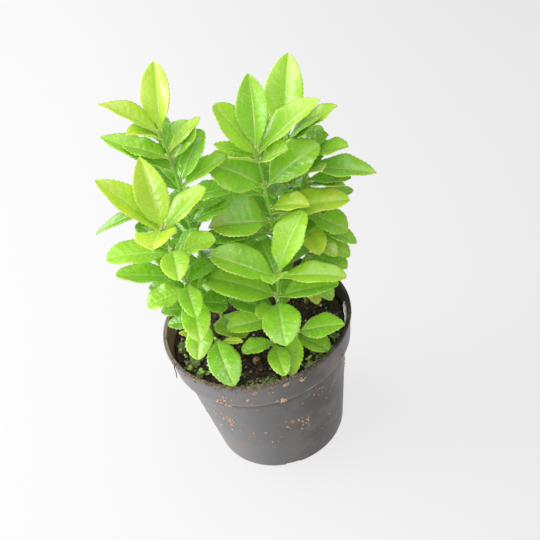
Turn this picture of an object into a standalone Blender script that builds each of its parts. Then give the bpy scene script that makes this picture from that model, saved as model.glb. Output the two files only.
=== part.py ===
"""Potted euonymus: a bushy young shrub standing in the soil of a round nursery pot.

The part stands on the plane z = 0 with the pot's axis on Z. Lengths in the tables below are
in millimetres and angles in degrees; everything that is built is in metres.
"""
import math
from collections import namedtuple

import bmesh
import bpy
from mathutils import Matrix, Vector

MM = 0.001

# Pot
POT_HEIGHT = 95.0
RIM_RADIUS = 60.0
BAND_FOOT_RADIUS = 57.2
BAND_HEIGHT = 19.0
BODY_TOP_RADIUS = 54.0
BASE_RADIUS = 42.0
WALL = 1.6
LIP_WIDTH = 2.6
LIP_HEIGHT = 2.4
LIP_BEVEL = 0.6
LIP_STEP = 0.7
LIP_SLOPE = 0.4
LEDGE_SLOPE = 0.8
FLOOR_LIFT = 3.0
FOOT_WIDTH = 3.0
FOOT_BEVEL_WIDTH = 0.8
FOOT_BEVEL_HEIGHT = 2.0
RING_SLOPE = 0.6
CORNER_WIDTH = 1.2
CORNER_HEIGHT = 1.5
INNER_LEDGE_LOW = 0.6
INNER_LEDGE_HIGH = 2.4
PAD_RADIUS = 15.0
POT_STEPS = 60

# Drain holes through the floor and notches in the foot
DRAIN_COUNT = 6
DRAIN_RADIUS = 4.0
DRAIN_RING = 27.0
DRAIN_SIDES = 16
DRAIN_DEPTH = 8.0
NOTCH_WIDTH = 9.0
NOTCH_REACH = 12.0
NOTCH_HEIGHT = 1.8

# Soil
SOIL_TOP = 84.0
SOIL_CROWN = 1.5
SOIL_EDGE_DROP = 1.5
SOIL_RINGS = 5
SOIL_SHOULDER_HIGH = 3.4
SOIL_SHOULDER_LOW = 1.2
SOIL_CORNER_WIDTH = 1.6
SOIL_CORNER_HEIGHT = 1.8
SOIL_PAD_STEP = 0.4
SOIL_STEPS = 36
ROOT_DEPTH = 6.0
SOCKET_ABOVE = 4.0
GAP = 0.3

# Stems
STEM_FOOT_RADIUS = 1.6
STEM_TIP_RADIUS = 0.85
STEM_END_SHARE = 0.45
STEM_ROUNDNESS = 2

# Leaves
STALK_PART = 0.10
STALK_HALF_WIDTH = 0.9
TIP_HALF_WIDTH = 0.7
BLADE_WIDEST = 1.05
BLADE_FULLNESS = 0.7
LEAF_THICKNESS = 0.9
LEAF_CLEARANCE = 0.15
LEAF_STEPS = 6
LEAF_COLUMNS = 4
TIP_CROWDING = 0.9
OPENING_PART = 0.2
ROLL_PART = 0.3
BEND_CENTRE = 0.45
CUPPING = 0.12

# Distances, in metres, within which points count as one
TURN_MERGE = 0.00001
TUBE_MERGE = 0.000001

# A shoot's path is its stem's centre line, with heights measured from the soil.
# A leaf leaves the stem at a height, towards a direction round the stem (0 is +X, 90 is +Y),
# at a pitch above level. Fold lifts both halves, droop bends the tip down, roll tips the blade
# and bend curves it sideways.
Shoot = namedtuple("Shoot", "path leaves")
Leaf = namedtuple("Leaf", "height heading pitch length width fold droop roll bend", defaults=(0,))

SHOOTS = {
    "front": Shoot(
        path=[(12, -12), (15.5, -18, 38), (18, -19, 52), (19.5, -19.5, 60)],
        leaves=[
            Leaf(58, 36, 43, 40, 23, 14, 30, 0),
            Leaf(55, 163, 29, 42, 24, 20, 18, -8, -14),
            Leaf(55, -13, -7, 40, 18, 14, 25, 8),
            Leaf(59, -105, 28, 25, 16, 14, 10, 0),
            Leaf(40, 161, 23, 45, 29, 12, 20, -8),
            Leaf(40, -11, 6, 37, 21, 18, 15, 4),
            Leaf(36, -94, -6, 36, 24, 10, 45, 0),
        ],
    ),
    "centre": Shoot(
        path=[(20, 8), (24, 10, 76), (24, 11, 99), (24, 12, 118), (23.5, 12, 126)],
        leaves=[
            Leaf(124, 72, 60, 44, 19, 26, 15, 0, 24),
            Leaf(122, 7, 28, 47, 22, 20, 15, 0),
            Leaf(121, 136, 52, 38, 24, 14, 15, 0),
            Leaf(117, -165, 33, 20, 14, 30, 5, 0),
            Leaf(117, -27, 26, 21, 18, 26, 5, 14),
            Leaf(99, 165, 36, 37, 29, 13, 20, -30),
            Leaf(99, 7, 24, 40, 26, 15, 20, 20),
            Leaf(74, 176, 8, 38, 33, 34, 22, -22),
            Leaf(84, -31, 10, 26, 16, 20, 30, 10),
            Leaf(80, -6, -1, 47, 22, 16, 15, 11),
        ],
    ),
    "left": Shoot(
        path=[(-20, 8), (-24, 10, 88), (-23.5, 12, 116), (-24.5, 13.5, 134), (-26, 15, 151)],
        leaves=[
            Leaf(150, 66, 63, 39, 18, 22, 15, 0, 22),
            Leaf(149, 160, 36, 38, 16, 20, 26, -2, 8),
            Leaf(131, 49, 28, 26, 21, 18, 10, 6),
            Leaf(124, 151, 28, 47, 20, 16, 20, 0),
            Leaf(116, 34, 42, 33, 23, 16, 15, 0),
            Leaf(113, 3, 22, 32, 15, 18, 15, 3),
            Leaf(104, 0, 2, 28, 18, 14, 15, 0),
        ],
    ),
    "left_front": Shoot(
        path=[(-26, -6), (-35, -12, 63), (-36.5, -14, 89), (-38.5, -16, 109)],
        leaves=[
            Leaf(108, 95, 63, 42, 19, 25, 15, 4),
            Leaf(105, 151, 46, 48, 20, 18, 20, 0),
            Leaf(106, 15, 29, 34, 19, 14, 15, 0),
            Leaf(107, -101, 21, 33, 24, 14, 25, 0),
            Leaf(88, 180, 12, 38, 24, 12, 25, 0),
            Leaf(87, 0, 6, 25, 20, 14, 20, 0, -12),
            Leaf(91, -88, 3, 30, 17, 14, 25, 0),
            Leaf(67, 175, 18, 39, 18, 14, 15, 0),
            Leaf(57, -171, -3, 26, 22, 12, 20, 0),
            Leaf(62, -86, 2, 32, 14, 14, 25, 0),
            Leaf(50, -92, -8, 35, 18, 10, 35, 0),
            Leaf(27, -114, -20, 26, 18, 10, 35, -3, 12),
        ],
    ),
    "right": Shoot(
        path=[(34, 14), (44, 20, 51), (50, 22, 96), (53, 23, 106)],
        leaves=[
            Leaf(105, -26, 16, 27, 17, 14, 15, 0),
            Leaf(97, -19, -8, 42, 22, 14, 15, 0),
            Leaf(89, -15, -3, 27, 14, 14, 15, -1),
            Leaf(66, -32, -25, 27, 22, 12, 25, 0),
            Leaf(36, -43, -6, 28, 19, 12, 20, 0),
        ],
    ),
    "back": Shoot(
        path=[(28, 28), (38, 30, 90), (43, 30, 116)],
        leaves=[
            Leaf(115, 61, 56, 50, 24, 20, 15, 0),
            Leaf(112, 0, 27, 38, 19, 14, 15, 0),
            Leaf(92, 148, 24, 41, 22, 14, 20, -3),
        ],
    ),
    "low_left": Shoot(
        path=[(-22, -20), (-27, -24, 26)],
        leaves=[
            Leaf(24, -83, -10, 37, 20, 10, 40, 0, 8),
        ],
    ),
    "low_front": Shoot(
        path=[(7, -25), (7, -28, 16)],
        leaves=[
            Leaf(14, -161, 10, 21, 15, 14, 20, 0),
            Leaf(12, -88, 0, 29, 14, 10, 35, 0),
        ],
    ),
    "low_right": Shoot(
        path=[(21, -21), (22, -25, 15)],
        leaves=[
            Leaf(14, -22, 13, 31, 20, 10, 20, 6),
            Leaf(11, -43, -14, 23, 17, 14, 20, 0),
        ],
    ),
}

# Each finish is a colour and a roughness.
Finish = namedtuple("Finish", "colour roughness")
FINISHES = {
    "pot": Finish((0.045, 0.046, 0.048), 0.55),
    "soil": Finish((0.030, 0.018, 0.010), 0.95),
    "stem": Finish((0.180, 0.300, 0.060), 0.50),
    "leaf": Finish((0.210, 0.560, 0.035), 0.35),
}


def clear_scene():
    """Take away every object that the file starts with."""
    for thing in list(bpy.data.objects):
        bpy.data.objects.remove(thing, do_unlink=True)


def new_collection(name):
    group = bpy.data.collections.new(name)
    bpy.context.scene.collection.children.link(group)
    return group


def new_material(name):
    """A plain material with one of the part's finishes."""
    material = bpy.data.materials.new(name)
    material.use_nodes = True
    shader = material.node_tree.nodes["Principled BSDF"]
    shader.inputs["Base Color"].default_value = (*FINISHES[name].colour, 1.0)
    shader.inputs["Roughness"].default_value = FINISHES[name].roughness
    shader.inputs["Metallic"].default_value = 0.0
    return material


def new_object(name, data, group, material=None):
    thing = bpy.data.objects.new(name, data)
    group.objects.link(thing)
    if material:
        data.materials.append(material)
    return thing


def new_mesh(name, shape):
    """Turn a bmesh into a mesh and free it."""
    mesh = bpy.data.meshes.new(name)
    shape.to_mesh(mesh)
    shape.free()
    return mesh


def turned(name, profile, steps, group, material):
    """A closed profile of (radius, height) points turned round the Z axis."""
    outline = bmesh.new()
    points = [outline.verts.new((radius * MM, 0.0, height * MM)) for radius, height in profile]
    for start, end in zip(points, points[1:]):
        outline.edges.new((start, end))
    if profile[0][0] > 0:
        outline.edges.new((points[-1], points[0]))
    thing = new_object(name, new_mesh(name, outline), group, material)
    screw = thing.modifiers.new("Turn", "SCREW")
    screw.steps = steps
    screw.render_steps = steps
    screw.use_merge_vertices = True
    screw.merge_threshold = TURN_MERGE
    return thing


def cut(thing, cutter):
    """Cut the cutter's shape out of the thing."""
    boolean = thing.modifiers.new("Cut " + cutter.name, "BOOLEAN")
    boolean.operation = "DIFFERENCE"
    boolean.solver = "EXACT"
    boolean.object = cutter
    cutter.hide_render = True
    cutter.display_type = "WIRE"


def body_radius(height):
    """The pot's outer radius below the band."""
    return BASE_RADIUS + (BODY_TOP_RADIUS - BASE_RADIUS) * height / (POT_HEIGHT - BAND_HEIGHT)


def pot_profile():
    """Down the outside from the lip, under the floor with its raised drain ring, and up the inside."""
    ledge = POT_HEIGHT - BAND_HEIGHT
    lip_foot = POT_HEIGHT - LIP_HEIGHT
    inner_rim = RIM_RADIUS - LIP_WIDTH
    corner = FLOOR_LIFT + FOOT_WIDTH
    return [
        (RIM_RADIUS - LIP_BEVEL, POT_HEIGHT),
        (RIM_RADIUS, POT_HEIGHT - LIP_BEVEL),
        (RIM_RADIUS, lip_foot),
        (RIM_RADIUS - LIP_STEP, lip_foot - LIP_SLOPE),
        (BAND_FOOT_RADIUS, ledge),
        (BODY_TOP_RADIUS, ledge - LEDGE_SLOPE),
        (body_radius(FOOT_BEVEL_HEIGHT), FOOT_BEVEL_HEIGHT),
        (BASE_RADIUS - FOOT_BEVEL_WIDTH, 0.0),
        (BASE_RADIUS - FOOT_WIDTH, 0.0),
        (BASE_RADIUS - FOOT_WIDTH - RING_SLOPE, FLOOR_LIFT),
        (PAD_RADIUS + RING_SLOPE, FLOOR_LIFT),
        (PAD_RADIUS, 0.0),
        (0.0, 0.0),
        (0.0, WALL),
        (PAD_RADIUS - WALL, WALL),
        (PAD_RADIUS - WALL + RING_SLOPE, FLOOR_LIFT + WALL),
        (body_radius(FLOOR_LIFT) - WALL - CORNER_WIDTH, FLOOR_LIFT + WALL),
        (body_radius(corner) - WALL, FLOOR_LIFT + WALL + CORNER_HEIGHT),
        (BODY_TOP_RADIUS - WALL, ledge + INNER_LEDGE_LOW),
        (BAND_FOOT_RADIUS - WALL, ledge + INNER_LEDGE_HIGH),
        (inner_rim, lip_foot),
        (inner_rim, POT_HEIGHT - LIP_BEVEL),
        (inner_rim + LIP_BEVEL, POT_HEIGHT),
    ]


def drain_cutters(group):
    """Round drain holes through the floor and a notch in the foot beside each."""
    cutters = []
    for index in range(DRAIN_COUNT):
        turn = Matrix.Rotation(math.tau * (index + 0.5) / DRAIN_COUNT, 4, "Z")
        hole = bmesh.new()
        place = Matrix.Translation((DRAIN_RING * MM, 0, DRAIN_DEPTH / 2 * MM))
        bmesh.ops.create_cone(
            hole, cap_ends=True, segments=DRAIN_SIDES, radius1=DRAIN_RADIUS * MM,
            radius2=DRAIN_RADIUS * MM, depth=DRAIN_DEPTH * MM, matrix=turn @ place)
        notch = bmesh.new()
        size = Matrix.Diagonal((NOTCH_REACH * MM, NOTCH_WIDTH * MM, 2 * NOTCH_HEIGHT * MM, 1))
        place = Matrix.Translation((BASE_RADIUS * MM, 0, 0))
        bmesh.ops.create_cube(notch, size=1.0, matrix=turn @ place @ size)
        for name, shape in (("drain_hole", hole), ("foot_notch", notch)):
            label = "%s_%d" % (name, index + 1)
            cutters.append(new_object(label, new_mesh(label, shape), group))
    return cutters


def make_pot(parts, cutters, material):
    pot = turned("pot", pot_profile(), POT_STEPS, parts, material)
    for cutter in drain_cutters(cutters):
        cut(pot, cutter)


def soil_height(radius):
    """The top of the soil: a low crown that falls a little at the wall."""
    share = radius / BODY_TOP_RADIUS
    return SOIL_TOP + SOIL_CROWN * (1.0 - share ** 2) - SOIL_EDGE_DROP * share ** 8


def soil_profile():
    """Down the outer side from the crown, inside the pot's wall, to the floor."""
    ledge = POT_HEIGHT - BAND_HEIGHT
    floor = FLOOR_LIFT + WALL
    corner = FLOOR_LIFT + FOOT_WIDTH
    edge = BAND_FOOT_RADIUS - WALL - GAP
    rings = [edge * step / SOIL_RINGS for step in range(SOIL_RINGS + 1)]
    return [(radius, soil_height(radius)) for radius in rings] + [
        (edge, ledge + SOIL_SHOULDER_HIGH),
        (BODY_TOP_RADIUS - WALL - GAP, ledge + SOIL_SHOULDER_LOW),
        (body_radius(corner) - WALL - GAP, floor + SOIL_CORNER_HEIGHT),
        (body_radius(FLOOR_LIFT) - WALL - SOIL_CORNER_WIDTH, floor + GAP),
        (PAD_RADIUS - WALL + GAP, floor + GAP),
        (PAD_RADIUS - WALL - SOIL_PAD_STEP, WALL + GAP),
        (0.0, WALL + GAP),
    ]


def stem_points(path):
    """The stem's centre line in pot space, from its root up."""
    foot = path[0]
    points = [Vector((foot[0], foot[1], SOIL_TOP - ROOT_DEPTH)), Vector((foot[0], foot[1], SOIL_TOP))]
    points += [Vector((x, y, SOIL_TOP + height)) for x, y, height in path[1:]]
    return points


def stem_at(path, height):
    """The stem's centre and radius at a height above the soil."""
    points = stem_points(path)
    top = points[-1].z - SOIL_TOP
    radius = STEM_FOOT_RADIUS + (STEM_TIP_RADIUS - STEM_FOOT_RADIUS) * height / top
    for low, high in zip(points, points[1:]):
        if height <= high.z - SOIL_TOP:
            share = (SOIL_TOP + height - low.z) / (high.z - low.z)
            return low.lerp(high, share), radius
    return points[-1], radius


def tube(name, points, radii, group, material=None):
    """A round tube through the points, as a closed mesh."""
    curve = bpy.data.curves.new(name, "CURVE")
    curve.dimensions = "3D"
    curve.bevel_depth = MM
    curve.bevel_resolution = STEM_ROUNDNESS
    curve.use_fill_caps = True
    spline = curve.splines.new("POLY")
    spline.points.add(len(points) - 1)
    for knot, point, radius in zip(spline.points, points, radii):
        knot.co = (*(point * MM), 1.0)
        knot.radius = radius
    guide = bpy.data.objects.new(name + "_line", curve)
    bpy.context.scene.collection.objects.link(guide)
    bpy.context.view_layer.update()
    mesh = bpy.data.meshes.new_from_object(guide.evaluated_get(bpy.context.evaluated_depsgraph_get()))
    bpy.data.objects.remove(guide)
    bpy.data.curves.remove(curve)
    shape = bmesh.new()
    shape.from_mesh(mesh)
    bmesh.ops.remove_doubles(shape, verts=shape.verts, dist=TUBE_MERGE)
    bmesh.ops.recalc_face_normals(shape, faces=shape.faces)
    shape.to_mesh(mesh)
    shape.free()
    mesh.name = name
    return new_object(name, mesh, group, material)


def make_stem(name, path, group, material):
    """A tapering stem that narrows quickly just above its last point."""
    points = stem_points(path)
    radii = [stem_at(path, max(point.z - SOIL_TOP, 0.0))[1] for point in points]
    points.append(points[-1] + (points[-1] - points[-2]).normalized() * STEM_TIP_RADIUS)
    radii.append(STEM_TIP_RADIUS * STEM_END_SHARE)
    tube(name, points, radii, group, material)


def make_soil(parts, cutters, material):
    """The soil, with a socket for each stem's root."""
    soil = turned("soil", soil_profile(), SOIL_STEPS, parts, material)
    wide = STEM_FOOT_RADIUS + 2 * GAP
    for name, shoot in SHOOTS.items():
        root, above = stem_points(shoot.path)[:2]
        low = root - Vector((0, 0, GAP))
        high = above + Vector((0, 0, SOCKET_ABOVE))
        cut(soil, tube("socket_" + name, [low, high], [wide, wide], cutters))


def half_width(share, width):
    """The leaf's half width at a share of its length: a slim stalk, then an oval blade."""
    if share <= STALK_PART:
        return STALK_HALF_WIDTH
    along = (share - STALK_PART) / (1.0 - STALK_PART)
    oval = 0.5 * width * max(math.sin(math.pi * along ** BLADE_WIDEST), 0.0) ** BLADE_FULLNESS
    least = STALK_HALF_WIDTH + (TIP_HALF_WIDTH - STALK_HALF_WIDTH) * along
    return max(oval, least)


def aim(leaf, share):
    """The midrib's direction at a share of the length, and the level direction beside it."""
    turn = math.radians(leaf.heading + leaf.bend * (share - BEND_CENTRE))
    pitch = math.radians(leaf.pitch + leaf.droop * (0.5 - share))
    level = Vector((math.cos(turn), math.sin(turn), 0))
    side = Vector((-math.sin(turn), math.cos(turn), 0))
    return level * math.cos(pitch) + Vector((0, 0, math.sin(pitch))), side


def leaf_frames(leaf, path, shares):
    """Midrib points with the blade's side and face directions at each share of the length."""
    centre, radius = stem_at(path, leaf.height)
    heading = math.radians(leaf.heading)
    start_pitch = math.radians(leaf.pitch + leaf.droop / 2)
    away = radius + GAP + 0.5 * LEAF_THICKNESS * abs(math.sin(start_pitch)) + LEAF_CLEARANCE
    point = centre + Vector((math.cos(heading), math.sin(heading), 0)) * away
    frames = []
    before = 0.0
    for share in shares:
        point = point + aim(leaf, (before + share) / 2)[0] * (share - before) * leaf.length
        along, side = aim(leaf, share)
        tip = Matrix.Rotation(math.radians(leaf.roll) * min(share / ROLL_PART, 1.0), 3, along)
        frames.append((point, tip @ side, tip @ along.cross(side)))
        before = share
    return frames


def make_leaf(name, leaf, path, group, material):
    """A grid bent along the leaf's midrib and folded about it, then thickened."""
    blade = [(step / LEAF_STEPS) ** TIP_CROWDING for step in range(LEAF_STEPS + 1)]
    shares = [0.0] + [STALK_PART + (1.0 - STALK_PART) * part for part in blade]
    frames = leaf_frames(leaf, path, shares)
    grid = bmesh.new()
    bmesh.ops.create_grid(grid, x_segments=len(shares) - 1, y_segments=LEAF_COLUMNS, size=1.0)
    fold = math.radians(leaf.fold)
    for corner in grid.verts:
        row = round((corner.co.x + 1) / 2 * (len(shares) - 1))
        across = corner.co.y
        point, side, face = frames[row]
        half = half_width(shares[row], leaf.width)
        opened = min(max((shares[row] - STALK_PART) / OPENING_PART, 0.0), 1.0)
        lift = (abs(across) * math.sin(fold) - CUPPING * across ** 2) * opened
        reach = across * half * math.cos(fold * opened)
        corner.co = (point + side * reach + face * lift * half) * MM
    bmesh.ops.recalc_face_normals(grid, faces=grid.faces)
    mesh = new_mesh(name, grid)
    mesh.shade_smooth()
    thing = new_object(name, mesh, group, material)
    solid = thing.modifiers.new("Thickness", "SOLIDIFY")
    solid.thickness = LEAF_THICKNESS * MM
    solid.offset = 0.0


def build():
    clear_scene()
    parts = new_collection("potted_euonymus")
    cutters = new_collection("cutters")
    make_pot(parts, cutters, new_material("pot"))
    make_soil(parts, cutters, new_material("soil"))
    bark = new_material("stem")
    green = new_material("leaf")
    for name, shoot in SHOOTS.items():
        make_stem("stem_" + name, shoot.path, parts, bark)
        for number, leaf in enumerate(shoot.leaves, 1):
            make_leaf("leaf_%s_%d" % (name, number), leaf, shoot.path, parts, green)


build()
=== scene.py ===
"""Looks of the potted euonymus: toothed leaves on jointed shoots, compost with moss, a dusty nursery pot.

Lengths in the tables are in millimetres and angles in degrees. Everything that is built is in metres,
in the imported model's own frame: the pot's axis is Z and the pot stands on z = 0.
"""

import math
import random
from collections import namedtuple

import bmesh
import bpy
from mathutils import Matrix, Vector, noise


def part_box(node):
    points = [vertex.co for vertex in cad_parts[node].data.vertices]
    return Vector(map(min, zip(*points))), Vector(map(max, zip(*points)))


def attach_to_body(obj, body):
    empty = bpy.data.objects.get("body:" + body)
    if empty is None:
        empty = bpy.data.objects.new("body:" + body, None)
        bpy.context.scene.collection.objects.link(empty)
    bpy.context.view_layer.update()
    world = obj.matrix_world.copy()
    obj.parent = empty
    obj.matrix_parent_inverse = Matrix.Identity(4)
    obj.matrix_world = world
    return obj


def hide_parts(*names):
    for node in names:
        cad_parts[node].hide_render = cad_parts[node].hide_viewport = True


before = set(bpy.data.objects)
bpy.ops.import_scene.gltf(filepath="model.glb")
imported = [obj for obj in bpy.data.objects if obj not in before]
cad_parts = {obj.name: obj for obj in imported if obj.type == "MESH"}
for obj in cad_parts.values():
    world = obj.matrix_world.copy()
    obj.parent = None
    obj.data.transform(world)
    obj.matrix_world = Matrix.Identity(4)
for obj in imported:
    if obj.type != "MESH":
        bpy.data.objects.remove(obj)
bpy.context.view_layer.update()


# ---------------------------------------------------------------- the plant's plan

# Heights are from the soil up the stem. A heading is the way the leaf points round its stem,
# with 0 at +X and 90 at +Y. Fold lifts both halves, droop bends the tip down, roll tips the blade.
# Age runs from 0, a soft lime leaf, to 1, a dark hard one. Gold is how much yellow the rim and tip have.
# Point is above 0 for a leaf that narrows to a sharp tip, and below 0 for a round one. Bend curves
# the midrib to the left or the right.
Shoot = namedtuple("Shoot", "path leaves")
Leaf = namedtuple(
    "Leaf", "height heading pitch length width fold droop roll age gold point bend", defaults=(0.2, 0.0, 0.0))


def inner_leaf(height, heading, pitch, length, width, roll=0, age=0.85):
    """A plain leaf with the fold and the droop that most of the smaller ones have, dark unless told."""
    return Leaf(height, heading, pitch, length, width, 12, 20, roll, age, 0.1)


SHOOTS = {
    "front": Shoot(
        path=[(12, -12), (15.5, -18, 38), (18, -19, 52), (19.5, -19.5, 60)],
        leaves=[
            Leaf(58, 36, 43, 40, 23, 14, 30, 0, 0.34, 0.1, -0.05),
            Leaf(55, 163, 29, 42, 24, 20, 18, -8, 0.52, 0.5, -0.12, -14),
            Leaf(55, -13, -7, 40, 18, 14, 25, 8, 0.31, 0.2),
            Leaf(59, -105, 28, 25, 16, 14, 10, 0, 0.45, 0.3),
            Leaf(40, 161, 23, 45, 29, 12, 20, -8, 0.34, 0.1, -0.20),
            Leaf(40, -11, 6, 37, 21, 18, 15, 4, 0.50, 0.1),
            Leaf(36, -94, -6, 36, 24, 10, 45, 0, 0.55, 0.1, 0.05),
        ],
    ),
    "centre": Shoot(
        path=[(20, 8), (24, 10, 76), (24, 11, 99), (24, 12, 118), (23.5, 12, 126)],
        leaves=[
            Leaf(124, 72, 60, 44, 19, 26, 15, 0, 0.54, 0.3, 0.10, 24),
            Leaf(122, 7, 28, 47, 22, 20, 15, 0, 0.27, 0.4, 0.10),
            Leaf(121, 136, 52, 38, 24, 14, 15, 0, 0.27, 0.2, -0.12),
            Leaf(117, -165, 33, 20, 14, 30, 5, 0, 0.30, 0.5),
            Leaf(117, -27, 26, 21, 18, 26, 5, 14, 0.34, 0.8),
            Leaf(99, 165, 36, 37, 29, 13, 20, -30, 0.52, 0.3, -0.15),
            Leaf(99, 7, 24, 40, 26, 15, 20, 20, 0.53, 0.3, -0.10),
            Leaf(74, 176, 8, 38, 33, 34, 22, -22, 0.47, 0.8, 0.50),
            Leaf(84, -31, 10, 26, 16, 20, 30, 10, 0.15, 1.0),
            Leaf(80, -6, -1, 47, 22, 16, 15, 11, 0.12, 0.9),
        ],
    ),
    "left": Shoot(
        path=[(-20, 8), (-24, 10, 88), (-23.5, 12, 116), (-24.5, 13.5, 134), (-26, 15, 151)],
        leaves=[
            Leaf(150, 66, 63, 39, 18, 22, 15, 0, 0.12, 0.2, 0.05, 22),
            Leaf(149, 160, 36, 38, 16, 20, 26, -2, 0.06, 0.5, 0.50, 8),
            Leaf(131, 49, 28, 26, 21, 18, 10, 6, 0.44, 0.2, -0.05),
            Leaf(124, 151, 28, 47, 20, 16, 20, 0, 0.36, 0.2, 0.20),
            Leaf(116, 34, 42, 33, 23, 16, 15, 0, 0.55, 0.1, -0.10),
            Leaf(113, 3, 22, 32, 15, 18, 15, 3, 0.42, 0.1),
            Leaf(104, 0, 2, 28, 18, 14, 15, 0, 0.62, 0.1),
        ],
    ),
    "left_front": Shoot(
        path=[(-26, -6), (-35, -12, 63), (-36.5, -14, 89), (-38.5, -16, 109)],
        leaves=[
            Leaf(108, 95, 63, 42, 19, 25, 15, 4, 0.09, 0.2, 0.30),
            Leaf(105, 151, 46, 48, 20, 18, 20, 0, 0.06, 0.3, 0.25),
            Leaf(106, 15, 29, 34, 19, 14, 15, 0, 0.20, 0.4),
            Leaf(107, -101, 21, 33, 24, 14, 25, 0, 0.12, 0.9),
            Leaf(88, 180, 12, 38, 24, 12, 25, 0, 0.38, 0.1, -0.15),
            Leaf(87, 0, 6, 25, 20, 14, 20, 0, 0.28, 0.1, 0.00, -12),
            Leaf(91, -88, 3, 30, 17, 14, 25, 0, 0.30, 0.5),
            Leaf(67, 175, 18, 39, 18, 14, 15, 0, 0.46, 0.2, -0.15),
            Leaf(57, -171, -3, 26, 22, 12, 20, 0, 0.34, 0.1, -0.15),
            Leaf(62, -86, 2, 32, 14, 14, 25, 0, 0.46, 0.1, -0.15),
            Leaf(50, -92, -8, 35, 18, 10, 35, 0, 0.45, 0.4),
            Leaf(27, -114, -20, 26, 18, 10, 35, -3, 0.50, 0.3, 0.00, 12),
        ],
    ),
    "right": Shoot(
        path=[(34, 14), (44, 20, 51), (50, 22, 96), (53, 23, 106)],
        leaves=[
            Leaf(105, -26, 16, 27, 17, 14, 15, 0, 0.50, 0.2),
            Leaf(97, -19, -8, 42, 22, 14, 15, 0, 0.60, 0.5, 0.25),
            Leaf(89, -15, -3, 27, 14, 14, 15, -1, 0.70, 0.5),
            Leaf(66, -32, -25, 27, 22, 12, 25, 0, 0.50, 0.3),
            Leaf(36, -43, -6, 28, 19, 12, 20, 0, 0.68, 0.5),
        ],
    ),
    "back": Shoot(
        path=[(28, 28), (38, 30, 90), (43, 30, 116)],
        leaves=[
            Leaf(115, 61, 56, 50, 24, 20, 15, 0, 0.30, 0.2, 0.08),
            Leaf(112, 0, 27, 38, 19, 14, 15, 0, 0.22, 0.2),
            Leaf(92, 148, 24, 41, 22, 14, 20, -3, 0.70, 0.2),
        ],
    ),
    "low_left": Shoot(
        path=[(-22, -20), (-27, -24, 26)],
        leaves=[
            Leaf(24, -83, -10, 37, 20, 10, 40, 0, 0.76, 0.1, -0.05, 8),
        ],
    ),
    "low_front": Shoot(
        path=[(7, -25), (7, -28, 16)],
        leaves=[
            Leaf(14, -161, 10, 21, 15, 14, 20, 0, 0.46, 0.1, -0.10),
            Leaf(12, -88, 0, 29, 14, 10, 35, 0, 0.52, 0.2, -0.10),
        ],
    ),
    "low_right": Shoot(
        path=[(21, -21), (22, -25, 15)],
        leaves=[
            Leaf(14, -22, 13, 31, 20, 10, 20, 6, 0.56, 0.1, 0.10),
            Leaf(11, -43, -14, 23, 17, 14, 20, 0, 0.44, 0.1),
        ],
    ),
}

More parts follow.
